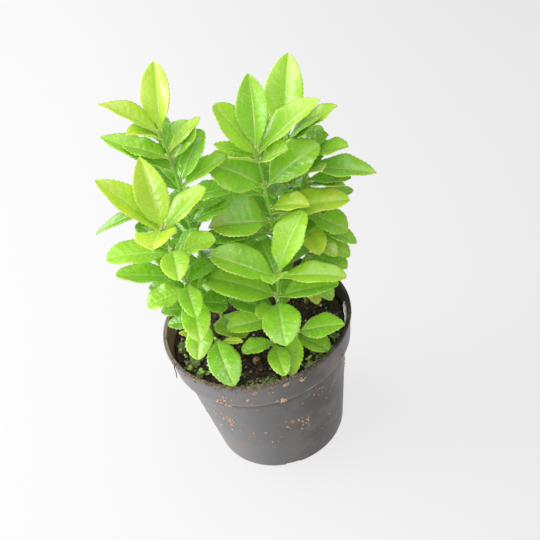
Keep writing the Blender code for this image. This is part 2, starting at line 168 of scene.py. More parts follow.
# Smaller leaves between the main ones, by the shoot they grow on.
BETWEEN = {
    "front": [
        inner_leaf(50, 96, 21, 32, 21, 0, 0.80), inner_leaf(34, 65, 20, 27, 18),
        inner_leaf(26, 60, 18, 28, 14, 0, 0.80),
        Leaf(31, -138, 17, 18, 15, 14, 25, -9, 0.40, 0.2, -0.15),
        Leaf(20, 180, 3, 32, 18, 16, 20, -10, 0.34, 0.2), inner_leaf(26, 160, 20, 31, 19),
    ],
    "centre": [
        inner_leaf(52, 174, 5, 31, 20, -7, 0.75), Leaf(120, 179, 35, 27, 8, 10, 10, -38, 0.45, 0.3),
        Leaf(93, 129, -2, 23, 17, 14, 15, 1, 0.70, 0.5), Leaf(74, -14, 27, 14, 6, 14, 15, 0, 0.20, 0.5),
        inner_leaf(62, 114, 18, 23, 18, 0, 0.95), inner_leaf(60, -56, 26, 25, 18, 0, 0.90),
        inner_leaf(50, 136, 2, 29, 19, 0, 0.92), inner_leaf(30, 156, 8, 28, 18, -5, 0.92),
        inner_leaf(111, 80, 39, 28, 15, 1), inner_leaf(98, 114, 18, 31, 19, -5),
        inner_leaf(70, 92, 34, 32, 17, -10), inner_leaf(66, 169, 0, 37, 20),
        inner_leaf(38, 108, 8, 28, 17, 0, 0.80), inner_leaf(20, 128, 4, 26, 16),
    ],
    "left": [
        Leaf(146, -158, 35, 23, 18, 16, 20, 0, 0.10, 0.6, 0.10),
        Leaf(133, 159, 22, 28, 16, 14, 18, -7, 0.45, 0.3),
        Leaf(123, 84, 42, 27, 15, 14, 15, 2, 0.60, 0.1),
        Leaf(137, 36, 16, 28, 10, 10, 10, 0, 0.24, 0.5),
        Leaf(96, 24, -1, 31, 17, 14, 15, 10, 0.62, 0.2),
        Leaf(92, 146, -3, 25, 16, 12, 15, 0, 0.75, 0.1), Leaf(83, 47, 18, 24, 17, 12, 15, 1, 0.80, 0.1),
        Leaf(89, -6, 15, 26, 18, 12, 18, -1, 0.72, 0.1), inner_leaf(70, 0, -1, 20, 18, 0, 0.90),
        inner_leaf(60, 59, -31, 28, 18, 0, 0.95), Leaf(55, -107, 8, 24, 16, 12, 25, 5, 0.80, 0.1),
        Leaf(40, 0, -19, 20, 19, 12, 25, 0, 0.85, 0.1), Leaf(14, -68, 2, 29, 26, 12, 25, -2, 0.38, 0.5),
        inner_leaf(76, 85, 33, 27, 16), inner_leaf(140, 100, 30, 26, 15),
        inner_leaf(110, 118, 20, 32, 18), inner_leaf(86, 92, 12, 32, 19),
        inner_leaf(66, 112, 10, 32, 19), inner_leaf(46, 140, 5, 30, 18), inner_leaf(30, 172, 5, 28, 17),
        Leaf(100, -178, -2, 55, 12, 12, 45, 0, 0.90, 0.2, 0.20), inner_leaf(72, 180, 0, 24, 16),
        inner_leaf(60, 176, 2, 26, 17), inner_leaf(74, -11, 0, 34, 20),
        inner_leaf(34, 82, 6, 28, 17, 0, 0.75), inner_leaf(18, 108, 5, 26, 16, 0, 0.80),
    ],
    "left_front": [
        Leaf(62, 42, -5, 27, 15, 12, 15, 4, 0.62, 0.1), Leaf(44, 0, -23, 19, 18, 12, 25, 12, 0.85, 0.1),
        Leaf(38, 174, 9, 23, 15, 12, 25, 0, 0.85, 0.1), Leaf(10, 168, 19, 22, 8, 12, 20, 0, 0.10, 0.8),
        inner_leaf(98, 89, 26, 23, 15, 0, 0.45), inner_leaf(76, 47, 33, 25, 14, 0, 0.65),
        inner_leaf(90, 128, 20, 28, 16), inner_leaf(70, 118, 15, 28, 16),
        inner_leaf(50, 150, 10, 28, 17), inner_leaf(26, 165, 0, 24, 15),
    ],
    "right": [
        Leaf(94, -71, 32, 27, 15, 14, 15, 0, 0.50, 1.0),
        Leaf(86, -32, 5, 25, 11, 14, 15, -10, 0.72, 0.7),
        Leaf(58, -87, -12, 26, 15, 18, 25, 0, 0.06, 1.0),
        Leaf(56, -62, -24, 27, 13, 12, 25, 0, 0.55, 0.6),
        Leaf(54, -41, -30, 31, 14, 12, 25, 0, 0.60, 0.6),
        Leaf(60, -31, -26, 33, 14, 12, 20, 0, 0.65, 0.6),
        Leaf(25, -67, -24, 26, 13, 12, 20, 1, 0.62, 0.2),
        Leaf(24, -88, -30, 23, 12, 12, 20, 0, 0.02, 1.0), inner_leaf(68, -71, 25, 25, 17, -4),
        inner_leaf(104, 62, 10, 27, 15, -8), inner_leaf(91, 52, 25, 29, 17, -6),
        inner_leaf(74, 97, 17, 30, 15, 13), inner_leaf(70, 11, -1, 31, 18, -7),
        inner_leaf(44, 82, 10, 30, 18), inner_leaf(30, 22, 0, 28, 17),
        inner_leaf(44, -160, 2, 21, 13, -5), inner_leaf(50, -123, 0, 26, 18),
        inner_leaf(62, -116, 0, 17, 16), inner_leaf(16, 58, 6, 26, 16, 0, 0.80),
        inner_leaf(58, 62, 8, 28, 17, 0, 0.75),
    ],
    "back": [
        Leaf(113, 59, 40, 40, 12, 20, 15, 1, 0.42, 0.4, 0.20),
        Leaf(114, -19, 33, 27, 15, 12, 15, -4, 0.62, 0.2),
        Leaf(100, -7, 26, 31, 20, 12, 15, 0, 0.80, 0.1), inner_leaf(81, -64, 32, 21, 15, 3, 0.92),
        inner_leaf(65, -72, 7, 22, 13, -6, 0.92), inner_leaf(104, 100, 35, 36, 20),
        inner_leaf(93, 33, 1, 33, 18, 1), inner_leaf(78, 112, 15, 36, 20),
        inner_leaf(62, 58, 8, 34, 19), inner_leaf(58, 132, 8, 32, 18), inner_leaf(44, 95, 5, 32, 18),
        inner_leaf(25, 49, -2, 26, 16, -2), inner_leaf(85, -112, 19, 27, 14, -4),
        inner_leaf(28, 122, 0, 28, 17), inner_leaf(38, 20, 6, 28, 17, 0, 0.70),
        inner_leaf(16, 100, 6, 26, 16, 0, 0.80),
    ],
    "low_left": [
        Leaf(20, -16, 0, 15, 6, 12, 20, 0, 0.05, 1.0), Leaf(18, -164, 8, 14, 9, 12, 25, 4, 0.60, 0.1),
    ],
    "low_front": [
        Leaf(10, 164, 12, 13, 8, 12, 20, -5, 0.10, 0.9),
    ],
    "low_right": [
        Leaf(13, -110, -14, 30, 13, 14, 30, 0, 0.36, 0.3),
    ],
}


# ---------------------------------------------------------------- sizes

MM = 0.001
GAP = 0.3

POT_HEIGHT = 95.0
RIM_RADIUS = 60.0
BAND_FOOT_RADIUS = 57.2
BAND_HEIGHT = 19.0
BODY_TOP_RADIUS = 54.0
BASE_RADIUS = 42.0
WALL = 1.6
LIP_WIDTH = 2.6
LIP_HEIGHT = 2.4
FLOOR_LIFT = 3.0
FOOT_WIDTH = 3.0
PAD_RADIUS = 15.0
LEDGE = POT_HEIGHT - BAND_HEIGHT
LIP_FOOT = POT_HEIGHT - LIP_HEIGHT
NECK_RADIUS = RIM_RADIUS - 0.95
ROUNDING = 0.7
ROUNDING_CUT = 0.2
POT_STEPS = 144
POT_CREASE = 38

DRAIN_COUNT = 6
DRAIN_RADIUS = 4.0
DRAIN_RING = 27.0
DRAIN_DEPTH = 8.0
DRAIN_SIDES = 32
NOTCH_LENGTH = 12.0
NOTCH_WIDTH = 9.0
NOTCH_HEIGHT = 1.8

SOIL_TOP = 84.0
SOIL_CROWN = 1.5
SOIL_FOOT = 6.0
SOIL_EDGE = BAND_FOOT_RADIUS - WALL - GAP
SOIL_EDGE_DROP = 0.9
SOIL_SETTLED = 0.3
FRONT_RISE = 1.8
SOIL_RINGS = 46
SOIL_SPOKES = 120

ROOT_DEPTH = 6.0
STEM_FOOT_RADIUS = 1.6
STEM_TIP_RADIUS = 0.85
STEM_SIDES = 16
STEM_STEP = 1.2
STEM_ROUNDING = 1.5
JOINT_SWELL = 0.24
JOINT_LENGTH = 1.3
BUD_LIFT = 1.9
BUD_SIZES = (0.75, 1.15)

YOUNG_AGE = 0.2
LEAF_THICKNESS = 0.8
EDGE_THINNING = 0.35
LEAF_COLUMNS = 18
STALK_PART = 0.07
STALK_SINK = 0.5
STALK_HALF_WIDTH = 0.9
STALK_CHANNEL = 0.5
STALK_OPENS = 0.12
TIP_HALF_WIDTH = 0.7
FOLD_GAIN = 1.7
BLADE_CUP = 0.16
RIPPLES = 2.2
RIPPLE_SHIFT = 0.35
QUILT = 0.018
UNEVEN = 0.014
GROOVE_DEPTH = 0.13
GROOVE_WIDTH = 0.8
VEIN_PAIRS = 8.0
VEIN_LEAN = 1.5
VEIN_CURVE = 1.25
TOOTH_PITCH = 2.5
TOOTH_DEPTH = 0.36
FEWEST_TEETH = 6

# The share of a tooth's pitch and how far out its edge stands there: a slow rise and a sharp step back.
TOOTH_OUTLINE = ((0.0, -0.8), (0.3, 0.0), (0.62, 0.7), (0.86, 1.0))


# ---------------------------------------------------------------- what lies on the compost and the pot

LUMPS = (
    # name, count, reach from the axis, smallest and largest, flatness, longest, seed
    ("crumbs", 1100, SOIL_EDGE - 1.5, (0.7, 2.4), 0.7, 1.5, 7),
    ("bark_chips", 320, SOIL_EDGE - 1.5, (0.7, 2.1), 0.45, 2.6, 11),
    ("perlite", 34, SOIL_EDGE - 1.2, (0.8, 2.2), 0.8, 1.4, 13),
)

MOSS_SEED = 41
MOSS_EDGE = SOIL_EDGE - 1.2
MOSS_PATCHES = (
    # heading, distance, spread, count, leaflet length
    (-162, 47, 3.2, 34, 2.0), (178, 49, 3.0, 26, 2.2), (-148, 50, 2.6, 22, 1.8), (-104, 50, 3.0, 60, 1.2),
    (-90, 50, 3.8, 84, 1.2), (-60, 49, 3.4, 52, 1.4), (-44, 49, 3.6, 40, 1.7), (-28, 50, 2.6, 20, 1.7),
    (150, 46, 3.5, 22, 1.6), (110, 46, 4.0, 26, 1.5), (70, 45, 4.0, 30, 1.5), (25, 47, 3.5, 26, 1.6),
    (-120, 40, 4.0, 14, 1.2), (-75, 38, 4.0, 16, 1.2),
)

SEEDLING_SEED = 43
SEEDLINGS = (
    # heading, distance
    (-143, 46), (-147, 49), (-168, 49), (-176, 51), (-155, 51), (-58, 46), (-40, 51), (-48, 44), (-82, 51),
    (88, 48), (35, 49), (135, 47),
)

STUB_PLACE = (-6.0, -27.5)
STUB_LEAN = 0.12
STUB_SIDES = 24
STUB_PARTS = (
    # name, finish, and the outline as heights and radii
    ("cut_stub", "bark_chips", ((-3.0, 2.6), (0.0, 2.8), (1.6, 2.6), (2.0, 2.3))),
    ("cut_stub_wood", "cut_wood", ((0.5, 2.0), (2.2, 2.1), (2.35, 1.9))),
    ("cut_stub_pith", "bark_chips", ((0.5, 0.8), (2.3, 0.8), (2.45, 0.7))),
)

FLAKE_SEED = 53
LOWEST_FLAKE = 4.0
FLAKE_CLUSTERS = (
    # heading, height, spread, count, largest size
    (-124, 79, 3.0, 16, 1.7), (-120, 73, 2.5, 12, 1.6), (-106, 81, 5.0, 8, 1.5), (-129, 55, 4.0, 14, 1.7),
    (-128, 42, 5.0, 6, 1.4), (-102, 37, 4.0, 7, 1.5), (-85, 46, 4.0, 8, 1.8), (-74, 43, 4.0, 16, 1.4),
    (-87, 77, 1.0, 9, 2.2), (-84, 93, 0.6, 3, 3.0), (-73, 89, 2.0, 6, 1.8), (-60, 64, 7.0, 16, 1.4),
    (-57, 22, 6.0, 9, 1.2), (-95, 88, 5.0, 12, 1.3), (-40, 80, 6.0, 8, 1.2), (170, 75, 14.0, 12, 1.3),
    (100, 60, 22.0, 16, 1.3), (30, 70, 20.0, 16, 1.3), (-20, 50, 14.0, 12, 1.3), (-150, 50, 14.0, 14, 1.3),
)

CRUMB_SEED = 59
CRUMB_SIZES = (0.35, 1.15)
SHARE_ON_LIP = 0.62
RIM_CRUMBS = (
    # heading, spread, count
    (-112, 15, 420), (-94, 8, 200), (-138, 10, 110), (-70, 12, 60), (60, 90, 80),
)

CRUST_SEED = 61
CRUST_COUNT = 70
CRUST_HEIGHTS = (86.5, 90.0)
CRUST_HEADINGS = (-18.0, 0.5)
CRUST_DEPTHS = (0.2, 1.8)
CRUST_SIZES = (1.2, 2.4)

FIBRE_HEADING = -157
FIBRE_SWAY = 0.8
FIBRE_RADIUS = 0.32
FIBRE_ROUTE = (
    # distance from the axis, height
    (54.5, 86.5), (56.6, 93.5), (57.6, 95.4), (60.0, 95.6), (60.8, 94.2), (60.9, 91.0), (60.5, 88.0),
    (61.2, 84.5),
)


# ---------------------------------------------------------------- stage, in metres

CAMERA_ELEVATION = 42.3
CAMERA_ROLL = -14.5
CAMERA_DISTANCE = 0.679
CAMERA_AIM = Vector((0.016, 0.018, 0.115))
LENS = 72.0
SENSOR = 36.0
NEAREST = 0.01

FLOOR_REACH = 4.0
AMBIENT = 0.55
REFLECTED = 0.16
BACKDROP = 0.93
FLOOR_GLOW = 0.84
LIGHT_AIM = (0.0, 0.0, 0.12)
PANELS = (
    # name, place, width and height, power, colour
    ("window", (-1.25, -0.12, 0.38), (1.5, 0.42), 11.0, (1.0, 0.99, 0.98)),
    ("skylight", (-0.95, 0.45, 1.0), (1.2, 0.9), 12.5, (1.0, 1.0, 1.0)),
    ("ceiling", (0.0, -0.10, 1.45), (1.4, 1.4), 8.0, (1.0, 1.0, 1.0)),
    ("fill", (-0.30, -1.30, 1.00), (1.2, 1.2), 4.5, (1.0, 0.99, 0.98)),
)


# ---------------------------------------------------------------- colours and finishes

def rgba(red, green, blue):
    return (red, green, blue, 1.0)


LEAF_AGES = (
    (0.0, rgba(0.58, 0.78, 0.045)),
    (0.3, rgba(0.38, 0.71, 0.034)),
    (0.6, rgba(0.23, 0.58, 0.020)),
    (1.0, rgba(0.115, 0.35, 0.010)),
)
# A fine pale mottle, partly the leaf's own tone and partly painted sheen.
LEAF_MOTTLE_AND_SHEEN = rgba(0.42, 0.70, 0.08)
SIDE_VEIN = rgba(0.52, 0.80, 0.15)
MIDRIB = rgba(0.66, 0.88, 0.28)
GOLD_RIM = rgba(0.74, 0.76, 0.16)
GOLD_TIP = rgba(0.74, 0.76, 0.12)
# Pale flecks of wax that also serve as painted glints.
WAX_AND_GLINT = rgba(0.78, 0.92, 0.62)
PALE_UNDERSIDE = rgba(0.42, 0.60, 0.20)
FRECKLE = rgba(0.30, 0.22, 0.05)

# A leaf's two faces: how rough, how strong its highlight and its coat, how much of the pale wax flecks with
# painted glints shows, how far the midrib stands out, and how much it pales.
LeafFace = namedtuple("LeafFace", "rough specular coat wax midrib pale")
UPPER_FACE = LeafFace((0.18, 0.34), 0.7, 0.5, 0.7, -0.25, 0.0)
UNDERSIDE = LeafFace((0.48, 0.62), 0.35, 0.0, 0.3, 0.5, 0.35)

YOUNG_BARK = (rgba(0.17, 0.42, 0.028), rgba(0.31, 0.60, 0.075))
OLD_BARK = rgba(0.24, 0.20, 0.075)
CORK = rgba(0.40, 0.34, 0.20)
BUD_GREEN = rgba(0.62, 0.70, 0.32)
BUD_PINK = rgba(0.78, 0.50, 0.40)

# Painted light and shade on the pot: paler plastic on the lit left side, darker brownish plastic on the right
# as painted shade with a warm painted reflection.
PAINTED_LIT_PLASTIC = (rgba(0.128, 0.130, 0.135), rgba(0.180, 0.175, 0.175))
PAINTED_SHADED_PLASTIC = (rgba(0.020, 0.015, 0.014), rgba(0.036, 0.028, 0.025))
DUST_FILM = rgba(0.23, 0.19, 0.15)
WET_STAIN = rgba(0.035, 0.024, 0.016)
DRY_STAIN = rgba(0.46, 0.30, 0.18)
# Painted shade with some grime under the band's ledge.
LEDGE_SHADE_AND_GRIME = rgba(0.022, 0.019, 0.017)
# Wear with a painted highlight along the foot of the band.
WORN_AND_LIT_EDGE = rgba(0.24, 0.22, 0.20)
DIRT = rgba(0.34, 0.20, 0.11)
WALL_SLOPE = 0.12

COMPOST = (rgba(0.014, 0.010, 0.007), rgba(0.085, 0.055, 0.033))
ALGAE = rgba(0.055, 0.070, 0.018)

GRAINS = {
    # name: dark colour, pale colour, scale of the grain, roughness
    "bark_chips": (rgba(0.055, 0.028, 0.015), rgba(0.34, 0.18, 0.095), 300.0, 0.9),
    "bark_flakes": (rgba(0.38, 0.20, 0.11), rgba(0.74, 0.47, 0.31), 450.0, 0.85),
    "crumbs": (rgba(0.012, 0.008, 0.006), rgba(0.07, 0.045, 0.028), 400.0, 0.95),
    "perlite": (rgba(0.55, 0.52, 0.46), rgba(0.80, 0.78, 0.74), 500.0, 0.9),
    "pale_wall_chips": (rgba(0.80, 0.79, 0.77), rgba(0.94, 0.94, 0.93), 500.0, 0.6),
    "moss_green": (rgba(0.12, 0.19, 0.045), rgba(0.46, 0.60, 0.20), 350.0, 0.7),
    "seedling_green": (rgba(0.22, 0.42, 0.05), rgba(0.42, 0.66, 0.13), 500.0, 0.6),
    "spilt_compost": (rgba(0.075, 0.055, 0.030), rgba(0.38, 0.30, 0.17), 350.0, 0.9),
    "cut_wood": (rgba(0.30, 0.19, 0.11), rgba(0.58, 0.42, 0.29), 600.0, 0.85),
}

FLOOR_COLOURS = (rgba(0.80, 0.80, 0.80), rgba(0.83, 0.83, 0.83))
# The floor's glow runs from a lit side at the left to painted shade at the right.
FLOOR_LIT_SIDE = rgba(0.935, 0.925, 0.935)
FLOOR_PAINTED_SHADE = rgba(0.80, 0.785, 0.79)
SKY = rgba(0.98, 0.985, 1.0)


# ---------------------------------------------------------------- small helpers

def new_object(name, mesh, *materials):
    thing = bpy.data.objects.new(name, mesh)
    bpy.context.scene.collection.objects.link(thing)
    for material in materials:
        mesh.materials.append(material)
    return thing


def mesh_from(shape, name):
    """Turn a bmesh into a smooth mesh and free it."""
    mesh = bpy.data.meshes.new(name)
    shape.to_mesh(mesh)
    shape.free()
    mesh.shade_smooth()
    return mesh


def attach(piece, slot, *nodes):
    """Fix a piece to the plant, in place of any CAD nodes named; the slot is not used."""
    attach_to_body(piece, "root")
    if nodes:
        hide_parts(*nodes)


def add_piece(name, shape, material, slot, *nodes):
    """Turn a finished bmesh into a piece of the plant."""
    attach(new_object(name, mesh_from(shape, name), material), slot, *nodes)


def smooth_step(value):
    value = min(max(value, 0.0), 1.0)
    return value * value * (3.0 - 2.0 * value)


def at_heading(heading, distance, height=0.0):
    """A point at a heading round the pot, in millimetres."""
    turn = math.radians(heading)
    return Vector((math.cos(turn) * distance, math.sin(turn) * distance, height))


def move(*offsets):
    return Matrix.Translation([offset * MM for offset in offsets])


def spin(turn, axis="Z"):
    return Matrix.Rotation(turn, 4, axis)


def stretch(*sizes):
    return Matrix.Diagonal([size * MM for size in sizes] + [1])


def roughen(corners, lot, size, share):
    """Push each corner a random way, by up to a share of the piece's size."""
    for corner in corners:
        corner.co += Vector((lot.uniform(-1, 1), lot.uniform(-1, 1), lot.uniform(-1, 1))) * size * share * MM


# ---------------------------------------------------------------- material nodes

class Nodes:
    """Short calls that add and join shader nodes in one tree."""

    def __init__(self, tree):
        self.tree = tree

    def add(self, kind, **settings):
        node = self.tree.nodes.new(kind)
        for key, value in settings.items():
            setattr(node, key, value)
        return node

    def join(self, source, target):
        self.tree.links.new(source, target)

    def feed(self, value, socket):
        """Link a socket, or set a plain number or colour."""
        if isinstance(value, bpy.types.NodeSocket):
            self.join(value, socket)
        else:
            socket.default_value = value

    def math(self, operation, first, second=0.0, third=0.0, clamp=False):
        node = self.add("ShaderNodeMath", operation=operation, use_clamp=clamp)
        for value, socket in zip((first, second, third), node.inputs):
            self.feed(value, socket)
        return node.outputs[0]

    def times(self, first, second):
        return self.math("MULTIPLY", first, second)

    def plus(self, first, second, clamp=False):
        return self.math("ADD", first, second, clamp=clamp)

    def minus(self, first, second, clamp=False):
        return self.math("SUBTRACT", first, second, clamp=clamp)

    def span(self, value, low, high, to_low=0.0, to_high=1.0):
        """Map a value from low..high to another range, with soft ends."""
        node = self.add("ShaderNodeMapRange", interpolation_type="SMOOTHSTEP")
        self.feed(value, node.inputs["Value"])
        node.inputs["From Min"].default_value = low
        node.inputs["From Max"].default_value = high
        node.inputs["To Min"].default_value = to_low
        node.inputs["To Max"].default_value = to_high
        return node.outputs["Result"]

    def blend(self, share, first, second):
        node = self.add("ShaderNodeMix", data_type="RGBA")
        self.feed(share, node.inputs[0])
        self.feed(first, node.inputs[6])
        self.feed(second, node.inputs[7])
        return node.outputs[2]

    def noise(self, where, scale, detail=3.0, roughness=0.5):
        node = self.add("ShaderNodeTexNoise")
        self.feed(where, node.inputs["Vector"])
        node.inputs["Scale"].default_value = scale
        node.inputs["Detail"].default_value = detail
        node.inputs["Roughness"].default_value = roughness
        return node.outputs["Fac"]

    def cells(self, where, scale, feature="F1"):
        """The distance from the nearest point of a random cell pattern."""
        node = self.add("ShaderNodeTexVoronoi", feature=feature)
        self.feed(where, node.inputs["Vector"])
        node.inputs["Scale"].default_value = scale
        return node.outputs["Distance"]

    def place(self):
        return self.add("ShaderNodeTexCoord").outputs["Object"]

    def split(self, value, kind="XYZ"):
        node = self.add("ShaderNodeSeparate" + kind)
        self.join(value, node.inputs[0])
        return node.outputs

    def group(self, tree, **values):
        node = self.add("ShaderNodeGroup", node_tree=tree)
        for key, value in values.items():
            self.feed(value, node.inputs[key.capitalize()])
        return node.outputs


def new_group(name, inputs, outputs):
    """A shader node group with named sockets: each input is a name, a kind and a first value."""
    tree = bpy.data.node_groups.new(name, "ShaderNodeTree")
    for label, kind, value in inputs:
        socket = tree.interface.new_socket(label, in_out="INPUT", socket_type="NodeSocket" + kind)
        if value is not None:
            socket.default_value = value
    for label in outputs:
        tree.interface.new_socket(label, in_out="OUTPUT", socket_type="NodeSocketFloat")
    nodes = Nodes(tree)
    start = nodes.add("NodeGroupInput").outputs
    end = nodes.add("NodeGroupOutput").inputs
    return tree, nodes, start, end


def new_material(name):
    material = bpy.data.materials.new(name)
    material.use_nodes = True
    nodes = Nodes(material.node_tree)
    shader = material.node_tree.nodes["Principled BSDF"]
    return material, nodes, shader.inputs


def bump(nodes, inputs, height, distance, strength):
    node = nodes.add("ShaderNodeBump")
    node.inputs["Strength"].default_value = strength
    node.inputs["Distance"].default_value = distance
    nodes.feed(height, node.inputs["Height"])
    nodes.join(node.outputs["Normal"], inputs["Normal"])


def specks_group():
    """Small loose specks: round spots of mixed size, of which only a share is kept."""
    tree, nodes, start, end = new_group(
        "Specks",
        [
            ("Place", "Vector", None), ("Scale", "Float", 300.0), ("Size", "Float", 0.25),
            ("Cover", "Float", 0.5)],
        ["Mask"])
    cell = nodes.add("ShaderNodeTexVoronoi", feature="F1")
    nodes.join(start["Place"], cell.inputs["Vector"])
    nodes.join(start["Scale"], cell.inputs["Scale"])
    first_lot, second_lot, _ = nodes.split(cell.outputs["Color"], "Color")
    spot = nodes.math("LESS_THAN", cell.outputs["Distance"], nodes.times(start["Size"], first_lot))
    chosen = nodes.math("LESS_THAN", second_lot, start["Cover"])
    nodes.join(nodes.times(spot, chosen), end["Mask"])
    return tree


def veins_group():
    """Leaf veins from the blade's own map: U runs from stalk to tip and V from edge to edge."""
    tree, nodes, start, end = new_group(
        "Veins", [("Blade", "Vector", None)], ["Midrib", "Side", "Edge", "Along", "Height"])
    along, across, _ = nodes.split(start["Blade"])
    off = nodes.math("ABSOLUTE", nodes.math("MULTIPLY_ADD", across, 2.0, -1.0))
    thin = nodes.math("MULTIPLY_ADD", along, -0.045, 0.095)
    midrib = nodes.minus(1.0, nodes.math("DIVIDE", off, thin), clamp=True)
    wander = nodes.times(nodes.noise(start["Blade"], 6.0, 2.0), 0.5)
    lean = nodes.times(nodes.math("POWER", off, VEIN_CURVE), VEIN_LEAN)
    phase = nodes.plus(nodes.minus(nodes.times(along, VEIN_PAIRS), lean), wander)
    wave = nodes.math("ABSOLUTE", nodes.minus(nodes.math("FRACT", phase), 0.5))
    fade = nodes.span(off, 0.95, 0.35)
    nodes.join(midrib, end["Midrib"])
    nodes.join(nodes.times(nodes.span(wave, 0.06, 0.0), fade), end["Side"])
    nodes.join(nodes.span(off, 0.90, 1.0), end["Edge"])
    nodes.join(along, end["Along"])
    nodes.join(nodes.times(nodes.span(wave, 0.0, 0.35), fade), end["Height"])
    return tree


def age_green(nodes, age):
    """Leaf green by age, as a colour ramp."""
    ramp = nodes.add("ShaderNodeValToRGB")
    stops = ramp.color_ramp.elements
    for where, _ in LEAF_AGES[1:-1]:
        stops.new(where)
    for stop, (_, colour) in zip(stops, LEAF_AGES):
        stop.color = colour
    nodes.join(age, ramp.inputs[0])
    return ramp.outputs[0]


def leaf_colour(nodes, place, vein, specks, face):
    """Green with a pale mottle that is partly painted sheen, pale veins, a golden rim and tip, flecks of wax
    with painted glints and a few brown freckles.
    """
    tint = nodes.add("ShaderNodeAttribute", attribute_name="tint").outputs["Color"]
    age, gold, _ = nodes.split(tint, "Color")
    cloud = nodes.noise(place, 70.0, 3.0)
    colour = age_green(nodes, nodes.plus(age, nodes.times(nodes.minus(cloud, 0.5), 0.30)))
    # A fine pale mottle: partly the leaf's own tone, partly painted sheen.
    mottle_and_sheen = nodes.span(nodes.noise(place, 800.0, 4.0, 0.6), 0.40, 0.70, 0.0, 0.46)
    colour = nodes.blend(mottle_and_sheen, colour, LEAF_MOTTLE_AND_SHEEN)
    colour = nodes.blend(nodes.times(vein["Side"], 0.20), colour, SIDE_VEIN)
    colour = nodes.blend(nodes.times(vein["Midrib"], 0.8), colour, MIDRIB)
    rim = nodes.times(vein["Edge"], nodes.math("MULTIPLY_ADD", gold, 0.7, 0.14))
    colour = nodes.blend(rim, colour, GOLD_RIM)
    # Pale flecks of wax gathered in patches, which also stand in as painted glints.
    gather = nodes.times(nodes.span(nodes.noise(place, 95.0, 2.0), 0.38, 0.62), nodes.span(age, 0.12, 0.4))
    wax = nodes.times(nodes.group(specks, place=place, scale=640.0, size=0.36, cover=0.40)["Mask"], gather)
    colour = nodes.blend(nodes.times(wax, face.wax), colour, WAX_AND_GLINT)
    blush = nodes.times(nodes.span(cloud, 0.35, 0.6), nodes.span(vein["Along"], 0.45, 1.0))
    colour = nodes.blend(nodes.times(nodes.times(blush, gold), 0.75), colour, GOLD_TIP)
    if face.pale:
        colour = nodes.blend(face.pale, colour, PALE_UNDERSIDE)
    freckle = nodes.group(specks, place=place, scale=420.0, size=0.20, cover=0.03)["Mask"]
    return nodes.blend(nodes.times(freckle, 0.3), colour, FRECKLE)


def leaf_material(name, veins, specks, face):
    """A leaf's upper face or its underside, coloured by age from lime to dark green."""
    material, nodes, inputs = new_material(name)
    place = nodes.place()
    vein = nodes.group(veins, blade=nodes.add("ShaderNodeUVMap", uv_map="blade").outputs[0])
    nodes.join(leaf_colour(nodes, place, vein, specks, face), inputs["Base Color"])
    nodes.join(nodes.span(nodes.noise(place, 260.0, 2.0), 0.3, 0.7, *face.rough), inputs["Roughness"])
    inputs["Specular IOR Level"].default_value = face.specular
    inputs["Coat Weight"].default_value = face.coat
    inputs["Coat Roughness"].default_value = 0.2
    inputs["Subsurface Weight"].default_value = 0.2
    inputs["Subsurface Radius"].default_value = (0.6, 1.0, 0.15)
    inputs["Subsurface Scale"].default_value = 0.0015
    dimples = nodes.times(nodes.cells(place, 750.0, "SMOOTH_F1"), 0.4)
    relief = nodes.plus(nodes.times(vein["Height"], 0.45), dimples)
    relief = nodes.plus(relief, nodes.times(vein["Midrib"], face.midrib))
    bump(nodes, inputs, relief, 0.0003, 0.7)
    return material


def stem_material(specks):
    """Green young bark that turns brown towards the compost, with corky spots."""
    material, nodes, inputs = new_material("stem_bark")
    place = nodes.place()
    height = nodes.split(place)[2]
    patch = nodes.noise(place, 120.0, 4.0)
    low = nodes.times(nodes.span(height, 0.135, 0.085), 0.8)
    brown = nodes.plus(low, nodes.span(patch, 0.55, 0.70, 0.0, 0.35), clamp=True)
    colour = nodes.blend(brown, nodes.blend(nodes.noise(place, 400.0), *YOUNG_BARK), OLD_BARK)
    cork = nodes.group(specks, place=place, scale=700.0, size=0.35, cover=0.25)["Mask"]
    nodes.join(nodes.blend(nodes.times(cork, 0.5), colour, CORK), inputs["Base Color"])
    nodes.join(nodes.span(patch, 0.3, 0.7, 0.52, 0.72), inputs["Roughness"])
    inputs["Specular IOR Level"].default_value = 0.35
    bump(nodes, inputs, nodes.noise(place, 900.0, 4.0), 0.0002, 0.6)
    return material


def bud_material():
    """Pale green scales with a pink blush."""
    material, nodes, inputs = new_material("bud_scales")
    place = nodes.place()
    blush = nodes.span(nodes.noise(place, 500.0), 0.4, 0.65)
    nodes.join(nodes.blend(blush, BUD_GREEN, BUD_PINK), inputs["Base Color"])
    nodes.join(nodes.span(nodes.noise(place, 900.0), 0.3, 0.7, 0.35, 0.6), inputs["Roughness"])
    return material


def height_band(nodes, height, first, last):
    """A soft step between two heights in millimetres."""
    return nodes.span(height, first * MM, last * MM)


def pot_stain(nodes, place, x, y, height):
    """Where the film of compost clings to the wall's inside, above the ledge."""
    reach = nodes.math("SQRT", nodes.plus(nodes.math("POWER", x, 2.0), nodes.math("POWER", y, 2.0)))
    upright = nodes.minus(reach, nodes.times(height, WALL_SLOPE))
    inside = nodes.times(nodes.span(upright, 0.0474, 0.0467), height_band(nodes, height, LEDGE, LEDGE + 4.0))
    return nodes.times(inside, nodes.span(nodes.noise(place, 140.0, 5.0, 0.7), 0.34, 0.54))


def pot_dirt(nodes, place, specks):
    """Brown specks in two sizes, gathered in patches."""
    small = nodes.group(specks, place=place, scale=620.0, size=0.36, cover=0.10)["Mask"]
    large = nodes.group(specks, place=place, scale=260.0, size=0.22, cover=0.10)["Mask"]
    gather = nodes.span(nodes.noise(place, 35.0, 2.0), 0.38, 0.62, 0.25, 1.0)
    return nodes.times(nodes.math("MAXIMUM", small, large), gather)


